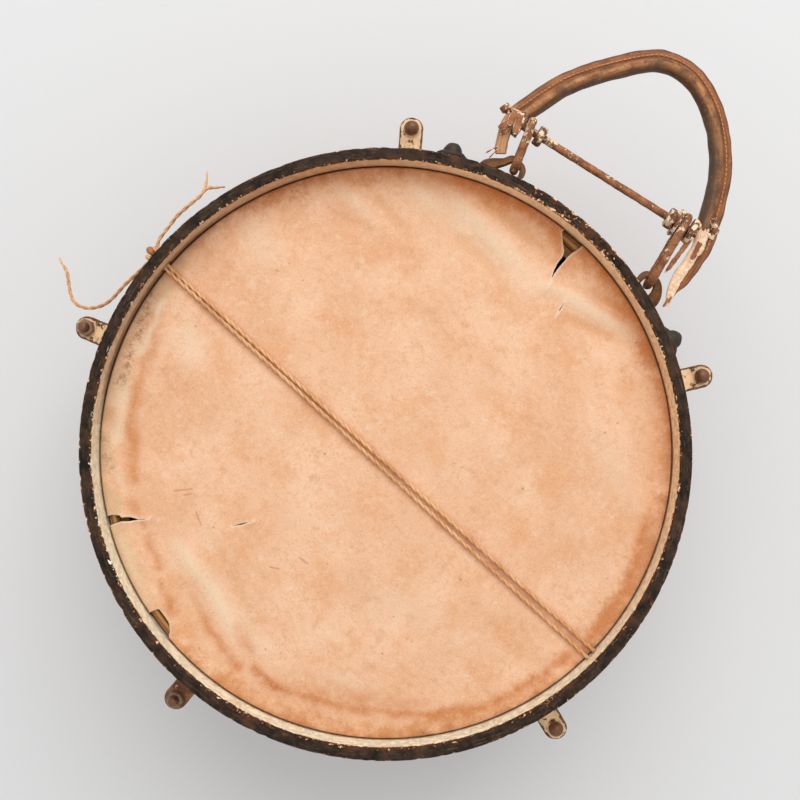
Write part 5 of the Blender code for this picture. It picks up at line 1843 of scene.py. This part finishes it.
def tension_rod_mesh():
    """A rod with its ball head up, seated on the upper ear, and a thread at its foot."""
    tab_top = HOOP_FOOT + EAR_TAB
    seat = tab_top + GAP
    centre = seat + BALL_RADIUS / 2
    profile = []
    for angle in arc(89, -30, 12):
        profile.append((BALL_RADIUS * math.cos(angle), centre + BALL_RADIUS * math.sin(angle)))
    end = -tab_top - ROD_END_REACH
    thread_top = end + THREAD_LENGTH
    profile += [(ROD_RADIUS, seat), (ROD_RADIUS, 0.0), (ROD_RADIUS, thread_top + 1 * MM)]
    foot = [(ROD_RADIUS - 0.8 * MM, end + 0.2 * MM), (ROD_RADIUS - 1.3 * MM, end)]
    rings = turned_rings(profile, ROD_SIDES)
    rings += threaded(end + 1.0 * MM, thread_top, ROD_SIDES, ROD_RADIUS)
    return grid_mesh("tension_rod", rings + turned_rings(foot, ROD_SIDES))


def nut_mesh(across_corners, height, bore):
    """A six-sided nut with its corners turned off at both ends."""
    flat = across_corners / 2 * math.cos(math.radians(30))
    top = height / 2

    def ring(reach, z):
        points = []
        for angle in turns(NUT_SIDES):
            off = (angle + math.radians(30)) % math.radians(60) - math.radians(30)
            out = min(flat / math.cos(math.radians(30) - abs(off)), reach)
            points.append(Vector((out * math.cos(angle), out * math.sin(angle), z)))
        return points
    rings = [
        ring(bore, top), ring(flat * 0.97, top), ring(across_corners, top - NUT_CHAMFER),
        ring(across_corners, NUT_CHAMFER - top), ring(flat * 0.97, -top), ring(bore, -top),
    ]
    return grid_mesh("nut", rings, along=True)


def build_rods(iron, nut_iron):
    rod_shape = tension_rod_mesh()
    nut_shape = nut_mesh(NUT_CORNERS, NUT_HEIGHT, ROD_HOLE - GAP)
    height = HOOP_FOOT + EAR_TAB + GAP + NUT_HEIGHT / 2
    for number, azimuth in enumerate(EAR_AZIMUTHS, start=1):
        nut_above = azimuth in RODS_WITH_NUT_ABOVE
        turn = Matrix.Rotation(math.radians(azimuth), 4, "Z")
        over = FLIP if nut_above else Matrix.Identity(4)
        at = Matrix.Translation(polar(ROD_CIRCLE, azimuth)) @ turn @ over
        name = "tension_rod_%d" % number
        rod = roughened(moved(rod_shape.copy(), at), *ROD_UNEVEN, number)
        piece(name + "_bolt", rod, iron, "drum", name, slot="dull_iron", sharp=THREAD_SHARP)
        place = polar(ROD_CIRCLE, azimuth, height if nut_above else -height)
        nut = moved(nut_shape.copy(), Matrix.Translation(place) @ turn)
        nut = roughened(nut, *NUT_UNEVEN, number)
        node = "tension_nut_%d" % number
        piece(node + "_hex", nut, nut_iron, "nut_%d" % number, node, slot="dull_iron")


def build_hook(iron):
    """The hook that pulls the gut: a bent wire with a ball at its tip and a thread at its foot."""
    top = RIM_TOP - HOOK_TOP_DEPTH
    foot = RIM_TOP - HOOK_END_DEPTH
    line = [Vector((0, 0, foot + HOOK_THREAD))]
    for angle in arc(180, 0, 16):
        line.append(Vector((HOOK_BEND + HOOK_BEND * math.cos(angle), 0, top + HOOK_BEND * math.sin(angle))))
    tip = Vector((2 * HOOK_BEND, 0, top - HOOK_TIP))
    line = even_route(line + [tip], HOOK_STEP)
    wire = sweep("hook", line, lambda d, w: oval(HOOK_RADIUS, HOOK_RADIUS, HOOK_SIDES), up=(0, 1, 0))
    screw = grid_mesh("hook_screw", threaded(foot, foot + HOOK_THREAD + 0.5 * MM, HOOK_SIDES, HOOK_RADIUS))
    profile = [(HOOK_BALL * math.cos(a), HOOK_BALL * math.sin(a)) for a in arc(89, -79, 14)]
    ball = moved(turned_mesh("hook_ball", profile, HOOK_BALL_SIDES), Matrix.Translation(tip))
    hook = moved(joined("hook", [wire, screw, ball]), upright(HOOK_SHANK_AT, STRAINER_AZIMUTH, 0))
    hook = roughened(hook, *HOOK_UNEVEN)
    piece("hook_wire", hook, iron, "snare_hook", "snare_hook", slot="dull_iron", sharp=THREAD_SHARP)


def build_thumb_nut(iron):
    """The knurled nut on the hook's thread."""
    low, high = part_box("snare_thumb_nut")
    radius = (high.x - low.x) / 2
    half = (high.z - low.z) / 2
    corners = [(radius, half), (radius, -half), (THUMB_BORE, -half), (THUMB_BORE, half)]
    rings = []
    for r, z in rounded(corners, THUMB_ROUNDING, 3):
        ring = []
        for angle in turns(KNURL_SIDES):
            outside = r > radius - 0.5 * MM
            out = r - KNURL_DEPTH * abs(math.sin(angle * KNURL_COUNT / 2)) if outside else r
            ring.append(Vector((out * math.cos(angle), out * math.sin(angle), z)))
        rings.append(ring)
    nut = moved(grid_mesh("thumb_nut", rings, along=True), Matrix.Translation((low + high) / 2 - CENTRE))
    piece("thumb_nut_knurled", nut, iron, "thumb_nut", "snare_thumb_nut", slot="dull_iron")


def build_bracket_screws(iron):
    screw = screw_mesh(*BRACKET_SCREW)
    for number, name in enumerate(("bracket_screw_upper", "bracket_screw_lower")):
        low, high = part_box(name)
        seat = CENTRE.x - low.x - BRACKET_SCREW[1]
        height = (low.z + high.z) / 2 - CENTRE.z
        spin = Matrix.Rotation(0.6 + number, 4, "Z")
        mesh = moved(screw.copy(), radial(seat, STRAINER_AZIMUTH, height) @ spin)
        piece(name + "_slotted", mesh, iron, "drum", name, slot="dull_iron")


def build_anchor(iron):
    """The button that the gut's far end goes round."""
    azimuth = math.degrees(math.atan2(GUT_ANCHOR_END[1], GUT_ANCHOR_END[0]))
    face = 2 * GUT_RADIUS + ANCHOR_CLEARANCE
    shank, reach = ANCHOR_SHANK
    profile = [(TIP_RADIUS, face + ANCHOR_RISE)]
    profile += [(ANCHOR_HEAD * share, face + rise * MM) for share, rise in ANCHOR_CAP]
    profile += [(shank, face), (shank, -reach), (TIP_RADIUS, -reach)]
    mesh = moved(turned_mesh("anchor", profile), radial(HOOP_OUTER, azimuth, RIM_TOP - ANCHOR_DEPTH))
    piece("anchor_button", mesh, iron, "drum", "snare_anchor_button", slot="dull_iron")


def build_vent(metal):
    profile = rounded([(r * MM, z * MM) for r, z in VENT_PROFILE], VENT_ROUNDING, 2)
    mesh = grid_mesh("vent", turned_rings(profile, VENT_SIDES), along=True)
    mesh = moved(mesh, radial(SHELL_RADIUS + GAP, VENT_AZIMUTH, 0))
    piece("vent_eyelet", mesh, metal, "drum", "vent_grommet", slot="brass")


# Handle

def grip_section(width):
    """A rolled strap: a round roll on the inner side and a sewn edge on the outer side; its ends are flat."""
    reach = GRIP_RADIUS * width
    flat = clamp((0.98 - width) / 0.2)
    middle = (GRIP_VALLEY - GRIP_INNER) / 2
    half = (GRIP_VALLEY + GRIP_INNER) / 2
    outer = []
    for u in GRIP_STATIONS:
        roll = GRIP_ROLL * math.sqrt(max(0.0, 1 - ((u - middle) / half) ** 2))
        sewn = 0.0
        if u >= GRIP_VALLEY - 0.05:
            sewn = GRIP_SEWN * math.sqrt(max(0.0, 1 - max(0.0, (u - 0.8) / 0.2) ** 2))
        strap = GRIP_FLAT * math.sqrt(max(0.0, 1 - abs((u + 0.09) / 1.09) ** 6))
        thick = max(roll, sewn) * (1 - flat) + strap * flat
        outer.append((reach * u, reach * thick))
    return outer + [(u, -v) for u, v in reversed(outer[1:-1])]


def grip_line():
    spots = []
    for x, y, width in GRIP_ROUTE:
        spots.append(Vector((x * MM, y * MM, HANDLE_Z + STRAP_LIFT * (1 - width), width)))
    return smooth_route(spots, 12)


def rod_route():
    """The handle's rod, bent at its left end."""
    return [Vector((x * MM, y * MM, HANDLE_Z)) for x, y in CROSS_ROD_ROUTE]


def peeled(distance, whole, across):
    """How far the leather has lost its face: the inner half of the right end, and round the left washer."""
    from_right = whole - distance
    limit = 0.1 + 0.9 * clamp((20 * MM - from_right) / (14 * MM))
    inner = clamp((limit + 0.2 - across) / 0.4)
    right = inner * clamp((58 * MM - from_right) / (6 * MM))
    left = 0.5 * max(0.0, 1 - abs(distance - 30 * MM) / (8 * MM))
    return max(right, left)


def build_grip(hide, yarn, strip_hide):
    line = grip_line()
    centres = [p.to_3d() for p in line]
    widths = [p.w for p in line]
    travelled = travelled_along(centres)

    def section(distance, whole):
        return grip_section(float(np.interp(distance, travelled, widths)))
    mesh = sweep("grip", centres, section)
    stations = GRIP_STATIONS + tuple(reversed(GRIP_STATIONS[1:-1]))
    spots = [(distance, u) for distance in travelled for u in stations]
    note(mesh, "along", [distance for distance, u in spots])
    note(mesh, "across", [u for distance, u in spots])
    note(mesh, "peel", [peeled(distance, travelled[-1], u) for distance, u in spots])
    route = rod_route()
    bores = []
    for a, b in zip(route, route[1:]):
        bores.append(rod_mesh(CROSS_ROD_RADIUS + GAP, (b - a).length, along_line(a, b)))
    mesh = cut(roughened(mesh, *GRIP_UNEVEN), bores)
    piece("grip_leather", mesh, hide, "handle", "handle_grip", slot="grip_leather")
    build_stitches(centres, widths, travelled, yarn)
    build_strips(strip_hide)


def stitch_spots(at, centres, travelled):
    """Places along one stitch on the grip's sewn edge, and how far each bows out."""
    spots = []
    for share in (0.0, 0.33, 0.66, 1.0):
        distance = at + share * STITCH_SPACING * STITCH_SHARE
        k = min(max(int(np.searchsorted(travelled, distance)), 1), len(centres) - 1)
        part = (distance - travelled[k - 1]) / (travelled[k] - travelled[k - 1])
        ahead = (centres[k] - centres[k - 1]).normalized()
        outward = Vector((0, 0, 1)).cross(ahead)
        bow = STITCH_BOW * math.sin(math.pi * share)
        spots.append((centres[k - 1].lerp(centres[k], part) + outward * (STITCH_OUT * GRIP_RADIUS), bow))
    return spots


def build_stitches(centres, widths, travelled, yarn):
    """A row of short stitches on both faces of the grip's sewn edge."""
    stitches = []
    for number in range(int(travelled[-1] / STITCH_SPACING)):
        at = number * STITCH_SPACING
        if float(np.interp(at, travelled, widths)) < 0.9:
            continue
        spots = stitch_spots(at, centres, travelled)
        for face in (1, -1):
            route = [spot + Vector((0, 0, face * (STITCH_RISE * GRIP_RADIUS + bow))) for spot, bow in spots]
            stitches.append(sweep("stitch", route, lambda d, w: oval(*STITCH_SECTION)))
    piece("grip_stitching", joined("grip_stitching", stitches), yarn, "handle", slot="grip_leather")


def strip_mesh(number, first, second, width, rise):
    """One torn strip of leather, thin and tapered, between two pixels of the photograph."""
    height = HANDLE_Z + rise * MM
    a = seen_at(first, height).to_3d()
    b = seen_at(second, height).to_3d()
    a.z = height
    b.z = height + (0.8 * MM if number % 2 else -0.6 * MM)
    middle = a.lerp(b, 0.5) + Vector((0, 0, STRIP_ARCH))
    route = even_route(smooth_route([a, middle, b], 8), STRIP_STEP)

    def section(travelled, whole):
        taper = 0.35 + 0.65 * min(1.0, 4 * (whole - travelled) / whole)
        return oval(width * MM / 2 * taper, STRIP_THICKNESS, STRIP_SIDES)
    strip = sweep("strip", route, section)
    brim = [abs(math.cos(angle)) ** 6 for angle in turns(STRIP_SIDES)]
    ends = [max(0.0, abs(2 * i / (len(route) - 1) - 1) * 3 - 2) for i in range(len(route))]
    note(strip, "torn", [max(side, end) for end in ends for side in brim])
    return strip


def build_strips(hide):
    strips = [strip_mesh(number, *strip) for number, strip in enumerate(LEATHER_STRIPS)]
    mesh = roughened(joined("leather_strips", strips), *STRIP_UNEVEN)
    piece("grip_torn_strips", mesh, hide, "handle", slot="grip_leather")


def cross_rod_section(travelled, whole):
    """The rod's head at its left end, then its neck, then the rod."""
    for end, radius in CROSS_ROD_NECK:
        if travelled < end:
            return oval(radius, radius, CROSS_ROD_SIDES)
    return oval(CROSS_ROD_RADIUS, CROSS_ROD_RADIUS, CROSS_ROD_SIDES)


def build_cross_rod(iron):
    line = smooth_route(rod_route()[:4], 8)[:-1] + even_route(rod_route()[3:], 1.5 * MM)
    rod = sweep("cross_rod", even_route(line, CROSS_ROD_STEP), cross_rod_section)
    crust = []
    for vertex in rod.vertices:
        near_nut = max(0.0, 1 - abs(vertex.co.x - CROSS_ROD_CRUST) / CRUST_SPREAD)
        bolt_end = 1.0 if vertex.co.x < CRUST_END else 0.0
        crust.append(-max(0.5 * near_nut, 0.3 * bolt_end))
    note(rod, "edge", crust)
    rod = roughened(rod, *CROSS_ROD_UNEVEN)
    piece("cross_rod", rod, iron, "handle", "handle_rod", slot="rusty_iron")


def on_rod(across):
    """Moves a piece that stands on its Z axis to a place along the handle's rod."""
    left, right = CROSS_ROD_ENDS
    along = (right - left).normalized()
    lay = along.to_track_quat("Z", "Y").to_matrix().to_4x4()
    return Matrix.Translation(left + along * ((across - left.x) / along.x)) @ lay


def build_rod_trim(crust):
    """The nuts and washers on the handle's rod, and the eyelet in its strap."""
    bore = CROSS_ROD_RADIUS + GAP
    nut = nut_mesh(CROSS_NUT_CORNERS, CROSS_NUT_HEIGHT, bore)
    for seed, (side, across) in enumerate(CROSS_ROD_NUTS.items(), start=3):
        node = "handle_rod_nut_" + side
        mesh = roughened(moved(nut.copy(), on_rod(across)), *CROSS_NUT_UNEVEN, seed)
        piece(node + "_hex", mesh, crust, "handle", node, slot="rusty_iron")
    for seed, (side, (across, radius, thickness)) in enumerate(CROSS_ROD_WASHERS.items(), start=7):
        half = thickness / 2
        ring = rounded([(radius, half), (radius, -half), (bore, -half), (bore, half)], WASHER_ROUNDING)
        ring = divided(ring, WASHER_FACE_LENGTH)
        washer = grid_mesh("washer", turned_rings(ring, WASHER_SIDES), along=True)
        mesh = roughened(moved(washer, on_rod(across)), *WASHER_UNEVEN, seed)
        piece("cross_rod_washer_" + side, mesh, crust, "handle", slot="rusty_iron")
    mesh = turned_mesh("eyelet", [(r * MM, z * MM) for r, z in EYELET], EYELET_SIDES)
    at = seen_at(EYELET_PIXEL, HANDLE_Z).to_3d() + Vector((0, 0, HANDLE_Z + EYELET_LIFT))
    mesh = roughened(moved(mesh, Matrix.Translation(at)), *EYELET_UNEVEN)
    piece("grip_eyelet", mesh, crust, "handle", slot="rusty_iron")


# Links and leather loops

def crusted(share, most):
    """How thick the old paint sits on a link, from its foot to its head."""
    return most * clamp((share - 0.45) / 0.45)


def link_route(foot, head):
    """The middle of a link's wire: half an eye round its foot, half an eye round its head, and two sides."""
    lean = (head - foot).normalized()
    line = []
    for centre, start in ((foot, 90), (head, 270)):
        for angle in arc(start, start + 180, 16):
            up = Vector((0, 0, LINK_EYE * math.sin(angle)))
            line.append(centre + lean * (LINK_EYE * math.cos(angle)) + up)
    return even_route(line + line[:1], LINK_STEP)[:-1]


def build_links(iron):
    wide, thick = LINK_WIRE
    for number, (side, top) in enumerate(LINK_TOPS.items()):
        foot = Vector((EYE_ACROSS if side == "right" else -EYE_ACROSS, HINGE_OUT, HANDLE_Z))
        head = Vector((*top, HANDLE_Z))
        lean = (head - foot).normalized()
        beside = lean.cross(Vector((0, 0, 1)))
        route = link_route(foot, head)
        mesh = sweep("link", route, lambda d, w: oval(thick, wide, LINK_SIDES), up=beside, closed=True)
        reach = (head - foot).length
        shares = [(vertex.co - foot).dot(lean) / reach for vertex in mesh.vertices]
        note(mesh, "edge", [-crusted(share, LINK_CRUST[side]) for share in shares])
        mesh = roughened(mesh, *LINK_UNEVEN, number)
        piece("handle_link_%s_bar" % side, mesh, iron, "handle", "handle_link_" + side, slot="rusty_iron")


def strap_section(height, thickness):
    """A leather strap on edge: thickness across, height up, with soft corners."""
    side = [(soft * thickness / 2, level * height / 2) for level, soft in STRAP_LEVELS]
    return side + [(-u, -v) for u, v in side]


def loop_mesh(side):
    """The loop's band from the hoop, through the link's eye and back; it tilts to show its face."""
    points = [Vector((x * MM, y * MM, width * MM, tilt)) for x, y, width, tilt in LOOP_ROUTES[side]]
    route = smooth_route(points, 8)
    places = [Vector((p.x, p.y, 0)) for p in route]
    distances = travelled_along(places)
    widths = [p.z for p in route]
    tilts = [p.w for p in route]

    def section(travelled, whole):
        width = float(np.interp(travelled, distances, widths))
        tilt = math.radians(float(np.interp(travelled, distances, tilts)))
        cos, sin = math.cos(tilt), math.sin(tilt)
        return [(u * cos + v * sin, v * cos - u * sin) for u, v in strap_section(width, LOOP_LEATHER)]
    return moved(sweep("loop", places, section), Matrix.Translation((EYE_ACROSS, HINGE_OUT, HANDLE_Z)))


def dome_profile():
    """A domed bolt from its tip down to its collar and shank."""
    rise = DOME_TIP - DOME_SEAT
    profile = [(TIP_RADIUS, rise)]
    for angle in arc(12, 90, 6):
        profile.append((DOME_RADIUS * math.sin(angle), DOME_FOOT + (rise - DOME_FOOT) * math.cos(angle)))
    return profile + [(r * MM, z * MM) for r, z in DOME_COLLAR]


def build_leather_loops(hide, iron):
    """Dark leather loops that hold the links, and the domed bolts that clamp their tails to the hoop."""
    first, last = LOOP_TAILS
    near = STRAP_FACE + LOOP_LEATHER / 2
    turned = [first + (last - first) * i / STRAP_STEPS for i in range(STRAP_STEPS + 1)]
    line = [polar(near, azimuth, HANDLE_Z) for azimuth in turned]
    for side, mirror in (("right", Matrix.Identity(4)), ("left", Matrix.Scale(-1, 4, (1, 0, 0)))):
        strap = sweep("strap", line, lambda d, w: strap_section(LOOP_STRAP_HEIGHT, LOOP_LEATHER))
        loop = moved(joined("leather_loop", [strap, loop_mesh(side)]), mirror)
        loop = roughened(loop, *LOOP_UNEVEN)
        piece("leather_loop_%s_strap" % side, loop, hide, "drum", "leather_loop_" + side, slot="dark_leather")
        head = turned_mesh("dome", dome_profile(), DOME_SIDES)
        head = moved(moved(head, radial(DOME_SEAT, DOME_AZIMUTH, HANDLE_Z)), mirror)
        head = roughened(head, *DOME_UNEVEN)
        piece("domed_bolt_%s_head" % side, head, iron, "drum", "domed_bolt_" + side, slot="black_iron")


# The whole drum

def dress_solids(finishes):
    """Finishes for the solids that stay as they are."""
    for name, finish in finishes.items():
        node = frame["nodes"][name]
        node.data.materials.clear()
        node.data.materials.append(finish)
        soften = node.modifiers.new("soft_edges", "BEVEL")
        soften.width = SOLID_BEVEL
        soften.segments = 2
        soften.limit_method = "ANGLE"
        soften.angle_limit = BEVEL_ANGLE


def build_drum():
    """The gut, heads, hoops and shell."""
    gut = gut_finish("gut")
    build_tail("gut_tail_a", TAIL_A_ROUTE, gut, [TAIL_A_SPLIT], "snare_gut_tail_a")
    build_tail("gut_tail_b", TAIL_B_ROUTE, gut, [], "snare_gut_tail_b")
    build_gut(gut)
    build_heads({
        "snare": calfskin("snare_calfskin", SNARE_STAINS_AND_RIM_SHADE, True),
        "batter": calfskin("batter_calfskin", BATTER_STAINS, False),
    })
    build_hoops(hoop_paint("hoop_paint"))
    build_shell(shell_wood("shell_wood"))


def build_ironwork(dull_iron):
    """Everything of iron or brass on the hoops and the shell."""
    build_ears(
        flaking_iron("cream_painted_iron", 0.66, (252, 212, 166), (140, 94, 62), (104, 64, 40)),
        flaking_iron("rusty_ear_iron", 0.3, (244, 204, 162), (172, 122, 86), (122, 80, 52)),
        dull_iron,
    )
    build_rods(dull_iron, bare_iron("nut_iron", (156, 126, 100), (108, 76, 54)))
    build_hook(bare_iron("hook_iron", (190, 126, 80), (150, 90, 54)))
    build_thumb_nut(dull_iron)
    build_bracket_screws(dull_iron)
    build_anchor(dull_iron)
    build_vent(brass("brass"))


def build_handle():
    """The leather grip, its rod and links, and the loops that hold it."""
    build_grip(
        grip_leather("grip_leather"), thread_finish("thread"),
        leather("torn_leather", (182, 122, 80), (136, 84, 54), (220, 164, 118), 0.65),
    )
    iron = flaking_iron("rusty_painted_iron", 0.34, (250, 214, 174), (176, 114, 74), (128, 78, 48))
    build_cross_rod(iron)
    build_rod_trim(flaking_iron("crusted_iron", 0.5, (252, 220, 184), (150, 92, 58), (100, 60, 38)))
    build_links(iron)
    build_leather_loops(
        leather("dark_leather", (132, 84, 46), (92, 58, 32), (172, 118, 70), 0.6),
        bare_iron("black_iron", (66, 56, 48), (46, 37, 31), 0.6),
    )


def main():
    make_camera()
    build_drum()
    dull_iron = bare_iron("dull_iron", (128, 88, 64), (92, 58, 38))
    build_ironwork(dull_iron)
    build_handle()
    wood = raw_wood("raw_wood")
    dress_solids({
        "snare_side_glue_ring": wood, "batter_side_glue_ring": wood,
        "snare_flesh_hoop": wood, "batter_flesh_hoop": wood, "strainer_bracket": dull_iron,
    })
    make_light()
    make_floor()


main()
